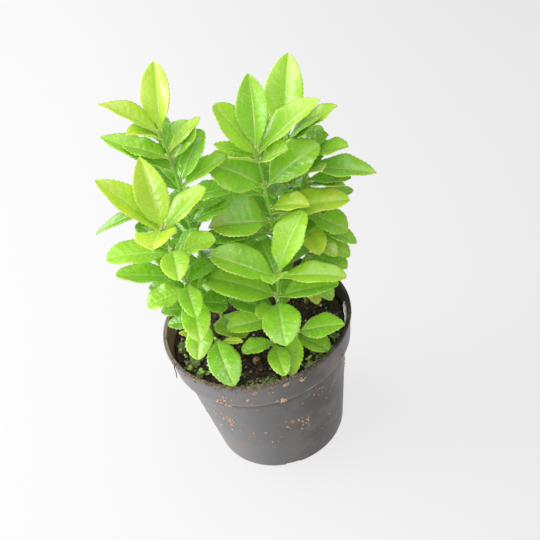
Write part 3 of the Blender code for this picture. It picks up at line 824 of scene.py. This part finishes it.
def pot_material(specks):
    """Worn black plastic, painted lighter on the left and darker and browner on the right as light and shade,
    with dust, brown specks and compost inside.
    """
    material, nodes, inputs = new_material("pot_plastic")
    place = nodes.place()
    x, y, height = nodes.split(place)
    cloud = nodes.noise(place, 22.0, 5.0, 0.6)
    # Painted light and shade: the plastic goes from a lit pale grey on the left to a shaded dark brown on the
    # right.
    lit_side_plastic = nodes.blend(cloud, *PAINTED_LIT_PLASTIC)
    colour = nodes.blend(nodes.span(x, -0.035, 0.045), lit_side_plastic, nodes.blend(cloud, *PAINTED_SHADED_PLASTIC))
    film = nodes.times(nodes.span(nodes.noise(place, 55.0, 5.0, 0.65), 0.45, 0.70), 0.35)
    colour = nodes.blend(film, colour, DUST_FILM)
    stain = pot_stain(nodes, place, x, y, height)
    colour = nodes.blend(stain, colour, nodes.blend(nodes.span(x, 0.02, -0.045), WET_STAIN, DRY_STAIN))
    # Painted shade with some grime: a soft dark band on the body just under the ledge.
    above = height_band(nodes, height, LEDGE - 9.5, LEDGE - 2.5)
    under_ledge = nodes.times(above, height_band(nodes, height, LEDGE + 0.5, LEDGE - 0.2))
    colour = nodes.blend(nodes.times(under_ledge, 0.6), colour, LEDGE_SHADE_AND_GRIME)
    # A pale line along the band's foot: partly wear, partly a painted highlight.
    edge = nodes.span(nodes.math("ABSOLUTE", nodes.minus(height, (LEDGE + 0.8) * MM)), 0.0010, 0.0004)
    worn_and_lit = nodes.times(edge, nodes.span(nodes.noise(place, 180.0, 3.0), 0.40, 0.60, 0.25, 0.8))
    colour = nodes.blend(worn_and_lit, colour, WORN_AND_LIT_EDGE)
    dirt = pot_dirt(nodes, place, specks)
    nodes.join(nodes.blend(dirt, colour, DIRT), inputs["Base Color"])
    rough = nodes.times(nodes.math("MAXIMUM", dirt, stain), 0.4)
    rough = nodes.plus(nodes.span(cloud, 0.3, 0.7, 0.32, 0.44), rough, clamp=True)
    nodes.join(rough, inputs["Roughness"])
    inputs["Specular IOR Level"].default_value = 0.35
    inputs["Coat Weight"].default_value = 0.08
    inputs["Coat Roughness"].default_value = 0.22
    grain = nodes.times(nodes.noise(place, 1500.0, 2.0), 0.2)
    bump(nodes, inputs, nodes.plus(grain, dirt), 0.0002, 0.5)
    return material


def soil_material():
    """Moist dark compost with a crumbly grain and green algae in patches."""
    material, nodes, inputs = new_material("compost")
    place = nodes.place()
    lump = nodes.noise(place, 240.0, 6.0, 0.7)
    colour = nodes.blend(nodes.span(lump, 0.35, 0.7), *COMPOST)
    green = nodes.span(nodes.noise(place, 70.0, 3.0), 0.52, 0.68, 0.0, 0.45)
    nodes.join(nodes.blend(green, colour, ALGAE), inputs["Base Color"])
    nodes.join(nodes.span(lump, 0.3, 0.7, 0.95, 0.70), inputs["Roughness"])
    bump(nodes, inputs, nodes.plus(lump, nodes.times(nodes.cells(place, 420.0), -0.5)), 0.0012, 0.9)
    return material


def grain_material(name, dark, pale, scale, rough):
    """A rough natural finish between two colours, for bark, grit and moss."""
    material, nodes, inputs = new_material(name)
    place = nodes.place()
    grain = nodes.noise(place, scale, 5.0, 0.65)
    nodes.join(nodes.blend(nodes.span(grain, 0.32, 0.68), dark, pale), inputs["Base Color"])
    nodes.join(nodes.span(grain, 0.3, 0.7, rough, rough - 0.2), inputs["Roughness"])
    bump(nodes, inputs, nodes.noise(place, scale * 2.5, 4.0), 0.0003, 0.8)
    return material


def floor_material():
    """A pale floor that keeps the plant's shadow and shows pale to the eye and in gloss, with painted shade
    towards +X.
    """
    material, nodes, inputs = new_material("pale_floor")
    tree = material.node_tree
    place = nodes.place()
    nodes.join(nodes.blend(nodes.noise(place, 3.0, 2.0), *FLOOR_COLOURS), inputs["Base Color"])
    inputs["Roughness"].default_value = 0.8
    glow = nodes.add("ShaderNodeEmission")
    # Painted shade: the glow darkens from the lit left towards +X.
    shade_share = nodes.span(nodes.split(place)[0], -0.2, 0.35)
    nodes.join(nodes.blend(shade_share, FLOOR_LIT_SIDE, FLOOR_PAINTED_SHADE), glow.inputs["Color"])
    glow.inputs["Strength"].default_value = 1.0
    path = nodes.add("ShaderNodeLightPath").outputs
    reflected = nodes.math("MAXIMUM", path["Is Glossy Ray"], path["Is Transmission Ray"])
    seen = nodes.math("MAXIMUM", path["Is Camera Ray"], reflected)
    mix = nodes.add("ShaderNodeMixShader")
    nodes.join(nodes.times(seen, FLOOR_GLOW), mix.inputs[0])
    nodes.join(tree.nodes["Principled BSDF"].outputs[0], mix.inputs[1])
    nodes.join(glow.outputs[0], mix.inputs[2])
    nodes.join(mix.outputs[0], tree.nodes["Material Output"].inputs["Surface"])
    return material


# ---------------------------------------------------------------- stems

def stem_points(path):
    """The stem's centre line from its root up."""
    foot = path[0]
    points = [Vector((*foot, SOIL_TOP - ROOT_DEPTH)), Vector((*foot, SOIL_TOP))]
    points += [Vector((x, y, SOIL_TOP + height)) for x, y, height in path[1:]]
    return points


def stem_at(path, height):
    """The stem's centre and radius at a height above the soil."""
    points = stem_points(path)
    top = points[-1].z - SOIL_TOP
    radius = STEM_FOOT_RADIUS + (STEM_TIP_RADIUS - STEM_FOOT_RADIUS) * height / top
    for low, high in zip(points, points[1:]):
        if height <= high.z - SOIL_TOP:
            share = (SOIL_TOP + height - low.z) / (high.z - low.z)
            return low.lerp(high, share), radius
    return points[-1], radius


def ring_of(shape, centre, radius_at, sides):
    """A level ring of vertices round a centre."""
    ring = []
    for index in range(sides):
        turn = math.tau * index / sides
        reach = radius_at(turn)
        ring.append(shape.verts.new((centre + Vector((math.cos(turn), math.sin(turn), 0)) * reach) * MM))
    return ring


def skin(shape, rings):
    """Close a stack of rings into one body, with a fan at each end."""
    for low, high in zip(rings, rings[1:]):
        for index in range(len(low)):
            after = (index + 1) % len(low)
            shape.faces.new((low[index], low[after], high[after], high[index]))
    for ring, up in ((rings[0], False), (rings[-1], True)):
        middle = sum((corner.co for corner in ring), Vector()) / len(ring)
        hub = shape.verts.new(middle)
        for index in range(len(ring)):
            pair = (ring[index], ring[(index + 1) % len(ring)])
            shape.faces.new((pair[0], pair[1], hub) if up else (pair[1], pair[0], hub))


def make_stem(name, shoot, joints, material):
    """A tapering stem, faintly four-sided, swollen at each pair of leaves, with a rounded top."""
    shape = bmesh.new()
    top = stem_points(shoot.path)[-1].z - SOIL_TOP
    count = int((top + ROOT_DEPTH) / STEM_STEP)
    rings = []
    for step in range(count + 1):
        height = -ROOT_DEPTH + (top + ROOT_DEPTH) * step / count
        centre, radius = stem_at(shoot.path, max(height, 0.0))
        if height < 0:
            centre = Vector((centre.x, centre.y, SOIL_TOP + height))
        swell = sum(JOINT_SWELL * math.exp(-((height - joint) / JOINT_LENGTH) ** 2) for joint in joints)
        crown = math.sqrt(max(1.0 - max(height - top + STEM_ROUNDING, 0.0) ** 2 / 3.2, 0.05))
        girth = radius * (1.0 + min(swell, 0.3)) * crown
        twist = math.radians(45.0 * (len([joint for joint in joints if joint < height]) % 2))

        def radius_at(turn, girth=girth, twist=twist, height=height):
            spot = Vector((math.cos(turn) * 1.5, math.sin(turn) * 1.5, height * 0.25 + len(name)))
            return girth * (1.0 + 0.05 * math.cos(4 * (turn + twist)) + 0.06 * noise.noise(spot))

        rings.append(ring_of(shape, centre, radius_at, STEM_SIDES))
    skin(shape, rings)
    attach(new_object(name + "_bark", mesh_from(shape, name), material), "stem", name)


def make_buds(name, shoot, leaves, material):
    """A small pointed bud in the angle above each leaf."""
    shape = bmesh.new()
    lot = random.Random(name)
    for leaf in leaves:
        centre, radius = stem_at(shoot.path, leaf.height + BUD_LIFT)
        out = at_heading(leaf.heading, 1.0)
        size = lot.uniform(*BUD_SIZES)
        place = Matrix.Translation((centre + out * (radius + 0.35 * size)) * MM)
        lean = (out * 0.45 + Vector((0, 0, 1))).to_track_quat("Z", "Y").to_matrix().to_4x4()
        scale = stretch(size * 0.75, size * 0.75, size * 1.45)
        bmesh.ops.create_uvsphere(shape, u_segments=10, v_segments=8, radius=1.0, matrix=place @ lean @ scale)
    add_piece(name + "_buds", shape, material, "stem")


# ---------------------------------------------------------------- leaves

def half_width(along, width, build):
    """The blade's half width at a share of its own length: a rounded oval that narrows to its tip."""
    widest, blunt, sharp = build
    oval = max(math.sin(math.pi * along ** widest), 0.0) ** (blunt + (sharp - blunt) * along)
    least = STALK_HALF_WIDTH + (TIP_HALF_WIDTH - STALK_HALF_WIDTH) * along
    return max(0.5 * width * oval, least)


def blade_share(share):
    """A share of the whole leaf's length, counted on the blade past its stalk."""
    return max((share - STALK_PART) / (1.0 - STALK_PART), 0.0)


def leaf_rows(leaf, lot):
    """Shares of the leaf's length for its rows, and how far a tooth stands out on each edge."""
    teeth = max(round(leaf.length * (1.0 - STALK_PART) / TOOTH_PITCH), FEWEST_TEETH)
    rows = [(STALK_PART * step / 3, 0.0, 0.0) for step in range(3)]
    for tooth in range(teeth):
        bold = lot.uniform(0.7, 1.25)
        for index, (part, out) in enumerate(TOOTH_OUTLINE):
            along = (tooth + part) / teeth
            reach = smooth_step((along - 0.06) / 0.2) * smooth_step((1.0 - along) / 0.07)
            other = TOOTH_OUTLINE[(index + 2) % len(TOOTH_OUTLINE)][1]
            rows.append((STALK_PART + (1.0 - STALK_PART) * along, out * reach * bold, other * reach * bold))
    rows.append((1.0, 0.0, 0.0))
    return rows


def aim(leaf, turn, share):
    """The midrib's direction at a share of the leaf's length, bent down towards the tip."""
    pitch = math.radians(leaf.pitch + leaf.droop * (0.5 - share))
    return Vector((math.cos(turn) * math.cos(pitch), math.sin(turn) * math.cos(pitch), math.sin(pitch)))


def leaf_frames(leaf, path, shares, sway, twist):
    """Midrib points with the blade's side and face directions at each share of the length."""
    centre, radius = stem_at(path, leaf.height)
    heading = math.radians(leaf.heading)
    point = centre + Vector((math.cos(heading), math.sin(heading), 0)) * (radius - STALK_SINK)
    frames = []
    before = 0.0
    for share in shares:
        middle = (before + share) / 2
        point = point + aim(leaf, heading + sway * (middle - 0.45), middle) * (share - before) * leaf.length
        turn = heading + sway * (share - 0.45)
        along = aim(leaf, turn, share)
        side = Vector((-math.sin(turn), math.cos(turn), 0))
        roll = math.radians(leaf.roll) * min(share / 0.3, 1.0) + twist * share
        tip = Matrix.Rotation(roll, 3, along)
        frames.append((point, tip @ side, tip @ along.cross(side)))
        before = share
    return frames


def leaf_lift(along, across, half, leaf, wave, phase):
    """How far a point of the blade stands above its flat width, in millimetres."""
    off = abs(across)
    opened = smooth_step(along / STALK_OPENS)
    fold = off * math.sin(math.radians(leaf.fold * FOLD_GAIN)) - BLADE_CUP * across ** 2
    shift = RIPPLE_SHIFT if across > 0 else 0.0
    ripple = wave * math.sin(math.tau * (along * RIPPLES + phase + shift)) * off ** 2
    ribs = along * VEIN_PAIRS - VEIN_LEAN * off ** VEIN_CURVE
    quilt = QUILT * (0.5 - 0.5 * math.cos(math.tau * ribs)) * math.sqrt(off) * (1.0 - across ** 4)
    uneven = UNEVEN * noise.noise(Vector((along * leaf.length * 0.4, across * half * 0.4, phase * 40.0)))
    groove = GROOVE_DEPTH * math.exp(-(across * half / GROOVE_WIDTH) ** 2) * opened
    stalk = STALK_CHANNEL * across ** 2 * (1.0 - opened)
    return half * (fold + ripple + quilt + uneven) * opened - groove + stalk


def thicken(blade):
    """Give a blade its body: thick along the midrib, thin at the edge, with its own underside."""
    solid = blade.modifiers.new("Thickness", "SOLIDIFY")
    solid.thickness = LEAF_THICKNESS * MM
    solid.offset = -1.0
    solid.vertex_group = "body"
    solid.thickness_vertex_group = EDGE_THINNING
    solid.material_offset = 1


def make_leaf(name, leaf, path, materials, nodes=()):
    """A toothed blade on a short stalk, ribbed and folded about its midrib."""
    lot = random.Random(nodes[0] if nodes else name)
    rows = leaf_rows(leaf, lot)
    sway = math.radians(leaf.bend + lot.uniform(-7, 7))
    twist = math.radians(lot.uniform(-7, 7))
    frames = leaf_frames(leaf, path, [row[0] for row in rows], sway, twist)
    build = (
        lot.uniform(0.98, 1.14) - 0.3 * max(leaf.point, 0.0), lot.uniform(0.68, 0.80),
        lot.uniform(0.50, 0.64) + leaf.point)
    wave = lot.uniform(0.03, 0.10)
    phase = lot.random()
    grid = bmesh.new()
    bmesh.ops.create_grid(grid, x_segments=len(rows) - 1, y_segments=LEAF_COLUMNS, size=1.0, calc_uvs=False)
    chart = grid.loops.layers.uv.new("blade")
    tint = grid.verts.layers.float_color.new("tint")
    body = grid.verts.layers.deform.verify()
    spots = {}
    for corner in grid.verts:
        row = round((corner.co.x + 1) / 2 * (len(rows) - 1))
        across = math.copysign(abs(corner.co.y) ** 1.1, corner.co.y)
        point, side, face = frames[row]
        share, out_right, out_left = rows[row]
        along = blade_share(share)
        half = half_width(along, leaf.width, build)
        tooth = TOOTH_DEPTH * (out_left if across > 0 else out_right) * abs(across) ** 8
        lift = leaf_lift(along, across, half, leaf, wave, phase)
        spots[corner] = (along, (across + 1) / 2)
        corner.co = (point + side * across * (half * 0.97 + tooth) + face * lift) * MM
        corner[tint] = (leaf.age, leaf.gold, 0.0, 1.0)
        corner[body][0] = max(1.0 - abs(across) ** 0.7, 1.0 - smooth_step(along / STALK_OPENS), 0.0)
    for face in grid.faces:
        for loop in face.loops:
            loop[chart].uv = spots[loop.vert]
    blade = new_object(name, mesh_from(grid, name), *materials)
    blade.vertex_groups.new(name="body")
    thicken(blade)
    attach(blade, "young_leaf" if leaf.age <= YOUNG_AGE else "leaf", *nodes)


# ---------------------------------------------------------------- pot

def body_radius(height):
    """The pot's outer radius below the band."""
    return BASE_RADIUS + (BODY_TOP_RADIUS - BASE_RADIUS) * height / LEDGE


def wall_radius(height):
    """The outer radius of the band or the body at a height."""
    if height < LEDGE:
        return body_radius(height)
    return BAND_FOOT_RADIUS + (NECK_RADIUS - BAND_FOOT_RADIUS) * (height - LEDGE) / (LIP_FOOT - LEDGE)


def pot_profile():
    """Down the outside from the lip, under the floor with its raised drain ring, and up the inside."""
    inner_rim = RIM_RADIUS - LIP_WIDTH
    foot = BASE_RADIUS - FOOT_WIDTH
    floor = FLOOR_LIFT + WALL
    return [
        (inner_rim + 0.9, POT_HEIGHT),
        (RIM_RADIUS - ROUNDING, POT_HEIGHT),
        (RIM_RADIUS - ROUNDING_CUT, POT_HEIGHT - ROUNDING_CUT),
        (RIM_RADIUS, POT_HEIGHT - ROUNDING),
        (RIM_RADIUS, LIP_FOOT + 0.3),
        (RIM_RADIUS - ROUNDING_CUT, LIP_FOOT),
        (RIM_RADIUS - ROUNDING, LIP_FOOT - ROUNDING_CUT),
        (NECK_RADIUS, LIP_FOOT - 0.9),
        (BAND_FOOT_RADIUS + 0.05, LEDGE + 0.6),
        (BAND_FOOT_RADIUS - 0.15, LEDGE + 0.15),
        (BAND_FOOT_RADIUS - 0.6, LEDGE),
        (BODY_TOP_RADIUS + 0.5, LEDGE - 0.35),
        (BODY_TOP_RADIUS + 0.05, LEDGE - 0.6),
        (BODY_TOP_RADIUS - 0.12, LEDGE - 1.4),
        (body_radius(40.0), 40.0),
        (body_radius(2.4), 2.4),
        (BASE_RADIUS - 0.1, 0.9),
        (BASE_RADIUS - 0.5, 0.2),
        (BASE_RADIUS - 1.1, 0.0),
        (foot, 0.0),
        (foot - 0.6, FLOOR_LIFT),
        (PAD_RADIUS + 0.6, FLOOR_LIFT),
        (PAD_RADIUS, 0.0),
        (0.0, 0.0),
        (0.0, WALL),
        (PAD_RADIUS - WALL, WALL),
        (PAD_RADIUS - WALL + 0.6, floor),
        (body_radius(FLOOR_LIFT) - WALL - 1.2, floor),
        (body_radius(FLOOR_LIFT + 3.0) - WALL, floor + 1.5),
        (BODY_TOP_RADIUS - WALL, LEDGE + 0.6),
        (BAND_FOOT_RADIUS - WALL - 0.3, LEDGE + 2.0),
        (BAND_FOOT_RADIUS - WALL, LEDGE + 2.6),
        (inner_rim - 0.05, LIP_FOOT - 0.5),
        (inner_rim, POT_HEIGHT - 0.9),
        (inner_rim + 0.25, POT_HEIGHT - 0.3),
    ]


def drain_cutter():
    """Drain holes through the floor and a notch in the foot beside each, in one mesh of loose bodies."""
    shape = bmesh.new()
    for index in range(DRAIN_COUNT):
        turn = spin(math.tau * (index + 0.5) / DRAIN_COUNT)
        bmesh.ops.create_cone(
            shape, cap_ends=True, segments=DRAIN_SIDES, radius1=DRAIN_RADIUS * MM, radius2=DRAIN_RADIUS * MM,
            depth=DRAIN_DEPTH * MM, matrix=turn @ move(DRAIN_RING, 0, DRAIN_DEPTH / 2))
        notch = move(BASE_RADIUS, 0, 0) @ stretch(NOTCH_LENGTH, NOTCH_WIDTH, 2 * NOTCH_HEIGHT)
        bmesh.ops.create_cube(shape, size=1.0, matrix=turn @ notch)
    mesh = bpy.data.meshes.new("drain_cutter")
    shape.to_mesh(mesh)
    shape.free()
    return new_object("drain_cutter", mesh)


def make_pot(material):
    """The turned pot with its drain holes cut, as one finished mesh."""
    outline = bmesh.new()
    points = [outline.verts.new((radius * MM, 0.0, height * MM)) for radius, height in pot_profile()]
    for start, end in zip(points, points[1:] + points[:1]):
        outline.edges.new((start, end))
    mesh = bpy.data.meshes.new("pot_turned")
    outline.to_mesh(mesh)
    outline.free()
    pot = new_object("pot_shell", mesh, material)
    screw = pot.modifiers.new("Turn", "SCREW")
    screw.steps = POT_STEPS
    screw.render_steps = POT_STEPS
    screw.use_merge_vertices = True
    screw.merge_threshold = 0.00001
    drains = pot.modifiers.new("Drains", "BOOLEAN")
    drains.operation = "DIFFERENCE"
    drains.solver = "EXACT"
    drains.object = drain_cutter()
    bpy.context.view_layer.update()
    finished = bpy.data.meshes.new_from_object(pot.evaluated_get(bpy.context.evaluated_depsgraph_get()))
    bpy.data.objects.remove(drains.object)
    pot.modifiers.clear()
    pot.data = finished
    finished.shade_smooth()
    finished.set_sharp_from_angle(angle=math.radians(POT_CREASE))
    attach(pot, "pot", "pot")


# ---------------------------------------------------------------- compost, grit and moss

def soil_level(x, y):
    """The height of the compost's surface at a place, with hollows and crumbs."""
    share = math.hypot(x, y) / SOIL_EDGE
    crown = SOIL_TOP + SOIL_CROWN * (1.0 - share ** 2) - SOIL_EDGE_DROP * share ** 8
    crown += FRONT_RISE * share ** 2 * max(-y / SOIL_EDGE, 0.0)
    hollows = noise.fractal(Vector((x * 0.11, y * 0.11, 3.1)), 0.9, 2.1, 5)
    crumbs = noise.noise(Vector((x * 0.75, y * 0.75, 8.0)))
    return crown + 0.75 * hollows + 0.35 * crumbs - SOIL_SETTLED


def soil_ring(shape, radius, height=0.0):
    return ring_of(shape, Vector((0, 0, height)), lambda turn: radius, SOIL_SPOKES)


def make_soil(material):
    """The root ball: a plain body inside the pot and a crumbly top."""
    shape = bmesh.new()
    foot = (body_radius(SOIL_FOOT) - WALL - 1.0, SOIL_FOOT)
    waist = (BODY_TOP_RADIUS - WALL - 0.7, LEDGE)
    shoulder = (SOIL_EDGE - 0.2, LEDGE + 3.6)
    rings = [soil_ring(shape, radius, height) for radius, height in (foot, waist, shoulder)]
    for step in range(SOIL_RINGS):
        ring = soil_ring(shape, (SOIL_EDGE - 0.1) * (1.0 - step / SOIL_RINGS))
        for corner in ring:
            corner.co.z = soil_level(corner.co.x / MM, corner.co.y / MM) * MM
        rings.append(ring)
    skin(shape, rings)
    add_piece("compost", shape, material, "soil", "soil")


def make_lumps(name, count, reach, sizes, flat, long, seed, material):
    """Crumbs, chips or grains strewn on the compost, each half sunk in it."""
    lot = random.Random(seed)
    shape = bmesh.new()
    for _ in range(count):
        turn = lot.uniform(0, math.tau)
        radius = reach * math.sqrt(lot.random())
        x, y = radius * math.cos(turn), radius * math.sin(turn)
        size = lot.uniform(*sizes)
        scale = stretch(size * lot.uniform(1.0, long), size, size * flat)
        turned = spin(lot.uniform(0, math.tau)) @ spin(lot.uniform(-0.5, 0.5), "X")
        place = Matrix.Translation(Vector((x, y, soil_level(x, y) + size * flat * 0.25)) * MM)
        made = bmesh.ops.create_icosphere(shape, subdivisions=1, radius=0.5, matrix=place @ turned @ scale)
        roughen(made["verts"], lot, size, 0.09)
    add_piece(name, shape, material, "soil")


def add_leaflet(shape, base, turn, rise, length, width, thick):
    """A small closed leaflet that points out from its base."""
    turned = spin(turn) @ spin(-rise, "Y")
    place = Matrix.Translation(base * MM) @ turned @ move(length * 0.42, 0, 0)
    bmesh.ops.create_icosphere(
        shape, subdivisions=1, radius=0.5, matrix=place @ stretch(length, width, thick))


def make_moss(material):
    """Patches of moss: rosettes of short pointed leaflets."""
    lot = random.Random(MOSS_SEED)
    shape = bmesh.new()
    for heading, distance, spread, count, leaflet in MOSS_PATCHES:
        centre = at_heading(heading, distance)
        for _ in range(count):
            x = centre.x + lot.gauss(0, spread)
            y = centre.y + lot.gauss(0, spread * 0.8)
            if math.hypot(x, y) > MOSS_EDGE:
                continue
            base = Vector((x, y, soil_level(x, y) + lot.uniform(0.1, 0.8)))
            size = leaflet * lot.uniform(0.7, 1.2)
            first = lot.uniform(0, math.tau)
            arms = lot.randint(4, 7)
            for arm in range(arms):
                rise = math.radians(lot.uniform(15, 55))
                turn = first + math.tau * arm / arms
                add_leaflet(shape, base, turn, rise, size, size * lot.uniform(0.4, 0.62), size * 0.22)
    add_piece("moss", shape, material, "leaf")


def make_seedlings(material):
    """Tiny round-leaved plants that came up in the pot."""
    lot = random.Random(SEEDLING_SEED)
    shape = bmesh.new()
    for heading, distance in SEEDLINGS:
        spot = at_heading(heading, distance)
        spot.z = soil_level(spot.x, spot.y)
        tall = lot.uniform(1.5, 3.5)
        first = lot.uniform(0, math.tau)
        stalk = Matrix.Translation((spot + Vector((0, 0, tall * 0.5 - 0.3))) * MM)
        bmesh.ops.create_cone(
            shape, cap_ends=True, segments=6, radius1=0.25 * MM, radius2=0.2 * MM, depth=(tall + 0.6) * MM,
            matrix=stalk)
        for arm in range(lot.randint(2, 4)):
            size = lot.uniform(2.0, 3.6)
            turn = spin(first + arm * 1.9) @ spin(-lot.uniform(0.1, 0.6), "Y")
            place = Matrix.Translation((spot + Vector((0, 0, tall))) * MM) @ turn
            disc = move(size * 0.45, 0, 0) @ stretch(size, size * 0.85, 0.4)
            bmesh.ops.create_uvsphere(shape, u_segments=12, v_segments=6, radius=0.5, matrix=place @ disc)
    add_piece("seedlings", shape, material, "leaf")


def make_stub(finishes):
    """The stub of a stem that was cut off at the compost, with a pale cut face and a dark pith."""
    x, y = STUB_PLACE
    level = soil_level(x, y)
    for name, finish, outline in STUB_PARTS:
        shape = bmesh.new()
        rings = []
        for height, radius in outline:

            def lobed(turn, radius=radius):
                return radius * (1.0 + 0.07 * math.sin(5 * turn) + 0.05 * math.sin(3 * turn + 1))

            centre = Vector((x, y - height * STUB_LEAN, level + height))
            rings.append(ring_of(shape, centre, lobed, STUB_SIDES))
        skin(shape, rings)
        add_piece(name, shape, finishes[finish], "stem")


# ---------------------------------------------------------------- dirt on the pot

def add_flake(shape, lot, heading, radius, height, size):
    """A flat chip that lies against an upright wall."""
    place = spin(math.radians(heading)) @ (move(radius, 0, height) @ spin(lot.uniform(0, math.pi), "X"))
    scale = stretch(size * 0.45, size * lot.uniform(1.0, 1.6), size * lot.uniform(0.4, 0.8))
    made = bmesh.ops.create_icosphere(shape, subdivisions=1, radius=0.5, matrix=place @ scale)
    roughen(made["verts"], lot, size, 0.06)


def make_flakes(material):
    """Chips of bark stuck to the outside of the pot, in clusters at the front and thinly all round."""
    lot = random.Random(FLAKE_SEED)
    shape = bmesh.new()
    for heading, height, spread, count, largest in FLAKE_CLUSTERS:
        for _ in range(count):
            level = min(max(height + lot.gauss(0, spread), LOWEST_FLAKE), LIP_FOOT - 1.0)
            way = heading + lot.gauss(0, spread * 1.1)
            size = largest * lot.uniform(0.5, 1.5)
            add_flake(shape, lot, way, wall_radius(level) + 0.05, level, size)
    add_piece("bark_flakes", shape, material, "soil")


def make_rim_crumbs(material):
    """Compost spilt on the lip and down the top of the band, thickest at the front left."""
    lot = random.Random(CRUMB_SEED)
    shape = bmesh.new()
    for heading, spread, count in RIM_CRUMBS:
        for _ in range(count):
            way = heading + lot.gauss(0, spread)
            size = lot.uniform(*CRUMB_SIZES)
            if lot.random() < SHARE_ON_LIP:
                radius = lot.uniform(RIM_RADIUS - LIP_WIDTH + 0.2, RIM_RADIUS - 0.2)
                spot = at_heading(way, radius, POT_HEIGHT + size * 0.2)
            else:
                drop = abs(lot.gauss(0, 2.2))
                outer = RIM_RADIUS if drop < LIP_HEIGHT else wall_radius(POT_HEIGHT - drop)
                spot = at_heading(way, outer + 0.05, POT_HEIGHT - drop)
            scale = stretch(size, size * lot.uniform(0.6, 1.0), size * 0.6)
            place = Matrix.Translation(spot * MM) @ spin(lot.uniform(0, math.tau))
            bmesh.ops.create_icosphere(shape, subdivisions=1, radius=0.5, matrix=place @ scale)
    add_piece("rim_crumbs", shape, material, "soil")


def make_wall_crust(material):
    """A pale crust of chips low on the inside of the wall at the right."""
    lot = random.Random(CRUST_SEED)
    shape = bmesh.new()
    for _ in range(CRUST_COUNT):
        level = lot.uniform(*CRUST_HEIGHTS)
        way = lot.uniform(*CRUST_HEADINGS)
        radius = wall_radius(level) - WALL - lot.uniform(*CRUST_DEPTHS)
        add_flake(shape, lot, way, radius, level, lot.uniform(*CRUST_SIZES))
    add_piece("wall_crust", shape, material, "soil")


def make_fibre(material):
    """A dry root that hangs over the lip at the left."""
    curve = bpy.data.curves.new("root_fibre", "CURVE")
    curve.dimensions = "3D"
    curve.bevel_depth = FIBRE_RADIUS * MM
    curve.bevel_resolution = 3
    curve.use_fill_caps = True
    line = curve.splines.new("POLY")
    line.points.add(len(FIBRE_ROUTE) - 1)
    for index, (radius, height) in enumerate(FIBRE_ROUTE):
        spot = at_heading(FIBRE_HEADING + FIBRE_SWAY * math.sin(index * 1.7), radius, height) * MM
        line.points[index].co = (*spot, 1.0)
    attach(new_object("root_fibre", curve, material), "soil")


# ---------------------------------------------------------------- camera, lights and floor

def add_camera():
    """A short telephoto that looks down on the plant, rolled as if the pot were held at a slant."""
    data = bpy.data.cameras.new("camera")
    data.lens = LENS
    data.sensor_width = SENSOR
    data.clip_start = NEAREST
    camera = bpy.data.objects.new("camera", data)
    bpy.context.scene.collection.objects.link(camera)
    tilt = math.radians(CAMERA_ELEVATION)
    roll = math.radians(CAMERA_ROLL)
    rim_centre = Vector((0, 0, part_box("pot")[1].z))
    camera.location = rim_centre - Vector((0, math.cos(tilt), -math.sin(tilt))) * CAMERA_DISTANCE
    level_up = Vector((0, math.sin(tilt), math.cos(tilt)))
    rolled_up = level_up * math.cos(roll) - Vector((1, 0, 0)) * math.sin(roll)
    ahead = (CAMERA_AIM - camera.location).normalized()
    right = ahead.cross(rolled_up).normalized()
    up = right.cross(ahead)
    camera.rotation_euler = Matrix((right, up, -ahead)).transposed().to_euler()
    bpy.context.scene.camera = camera


def add_panel(name, place, size, power, colour):
    """A soft light, as wide and tall as its size says, turned towards the plant."""
    data = bpy.data.lights.new(name, "AREA")
    data.shape = "RECTANGLE"
    data.size, data.size_y = size
    data.energy = power
    data.color = colour
    panel = bpy.data.objects.new(name, data)
    bpy.context.scene.collection.objects.link(panel)
    panel.location = place
    panel.rotation_euler = (Vector(place) - Vector(LIGHT_AIM)).to_track_quat("Z", "Y").to_euler()


def light_stage():
    """The panels, and a plain room that shows pale to the eye and dim in gloss."""
    for panel in PANELS:
        add_panel(*panel)
    world = bpy.data.worlds.new("room")
    bpy.context.scene.world = world
    world.use_nodes = True
    nodes = Nodes(world.node_tree)
    path = nodes.add("ShaderNodeLightPath").outputs
    reflected = nodes.math("MAXIMUM", path["Is Glossy Ray"], path["Is Transmission Ray"])
    sky = world.node_tree.nodes["Background"].inputs
    sky["Color"].default_value = SKY
    dimmed = nodes.math("MULTIPLY_ADD", reflected, REFLECTED - AMBIENT, AMBIENT)
    nodes.join(nodes.math("MULTIPLY_ADD", path["Is Camera Ray"], BACKDROP - AMBIENT, dimmed), sky["Strength"])
    bpy.context.scene.view_settings.view_transform = "Standard"


def add_floor():
    shape = bmesh.new()
    bmesh.ops.create_grid(shape, x_segments=1, y_segments=1, size=FLOOR_REACH)
    floor = new_object("floor", mesh_from(shape, "floor"), floor_material())


# ---------------------------------------------------------------- putting it together

def grow_plant(specks):
    """Every stem, its leaves and its buds."""
    veins = veins_group()
    faces = (
        leaf_material("leaf_face", veins, specks, UPPER_FACE),
        leaf_material("leaf_underside", veins, specks, UNDERSIDE))
    bark = stem_material(specks)
    scales = bud_material()
    for name, shoot in SHOOTS.items():
        between = BETWEEN[name]
        joints = sorted({leaf.height for leaf in shoot.leaves})
        make_stem("stem_" + name, shoot, joints, bark)
        make_buds("stem_" + name, shoot, shoot.leaves + between, scales)
        for number, leaf in enumerate(shoot.leaves, 1):
            node = "leaf_%s_%d" % (name, number)
            make_leaf(node + "_blade", leaf, shoot.path, faces, (node,))
        for number, leaf in enumerate(between, 1):
            make_leaf("between_%s_%d" % (name, number), leaf, shoot.path, faces)


def fill_pot(specks):
    """The pot, its compost, what lies and grows on it, and the dirt on the pot."""
    finishes = {name: grain_material(name, *values) for name, values in GRAINS.items()}
    make_pot(pot_material(specks))
    make_soil(soil_material())
    for name, *values in LUMPS:
        make_lumps(name, *values, finishes[name])
    make_moss(finishes["moss_green"])
    make_seedlings(finishes["seedling_green"])
    make_stub(finishes)
    make_flakes(finishes["bark_flakes"])
    make_rim_crumbs(finishes["spilt_compost"])
    make_wall_crust(finishes["pale_wall_chips"])
    make_fibre(finishes["bark_chips"])


def build():
    specks = specks_group()
    grow_plant(specks)
    fill_pot(specks)
    add_floor()
    light_stage()
    add_camera()


build()
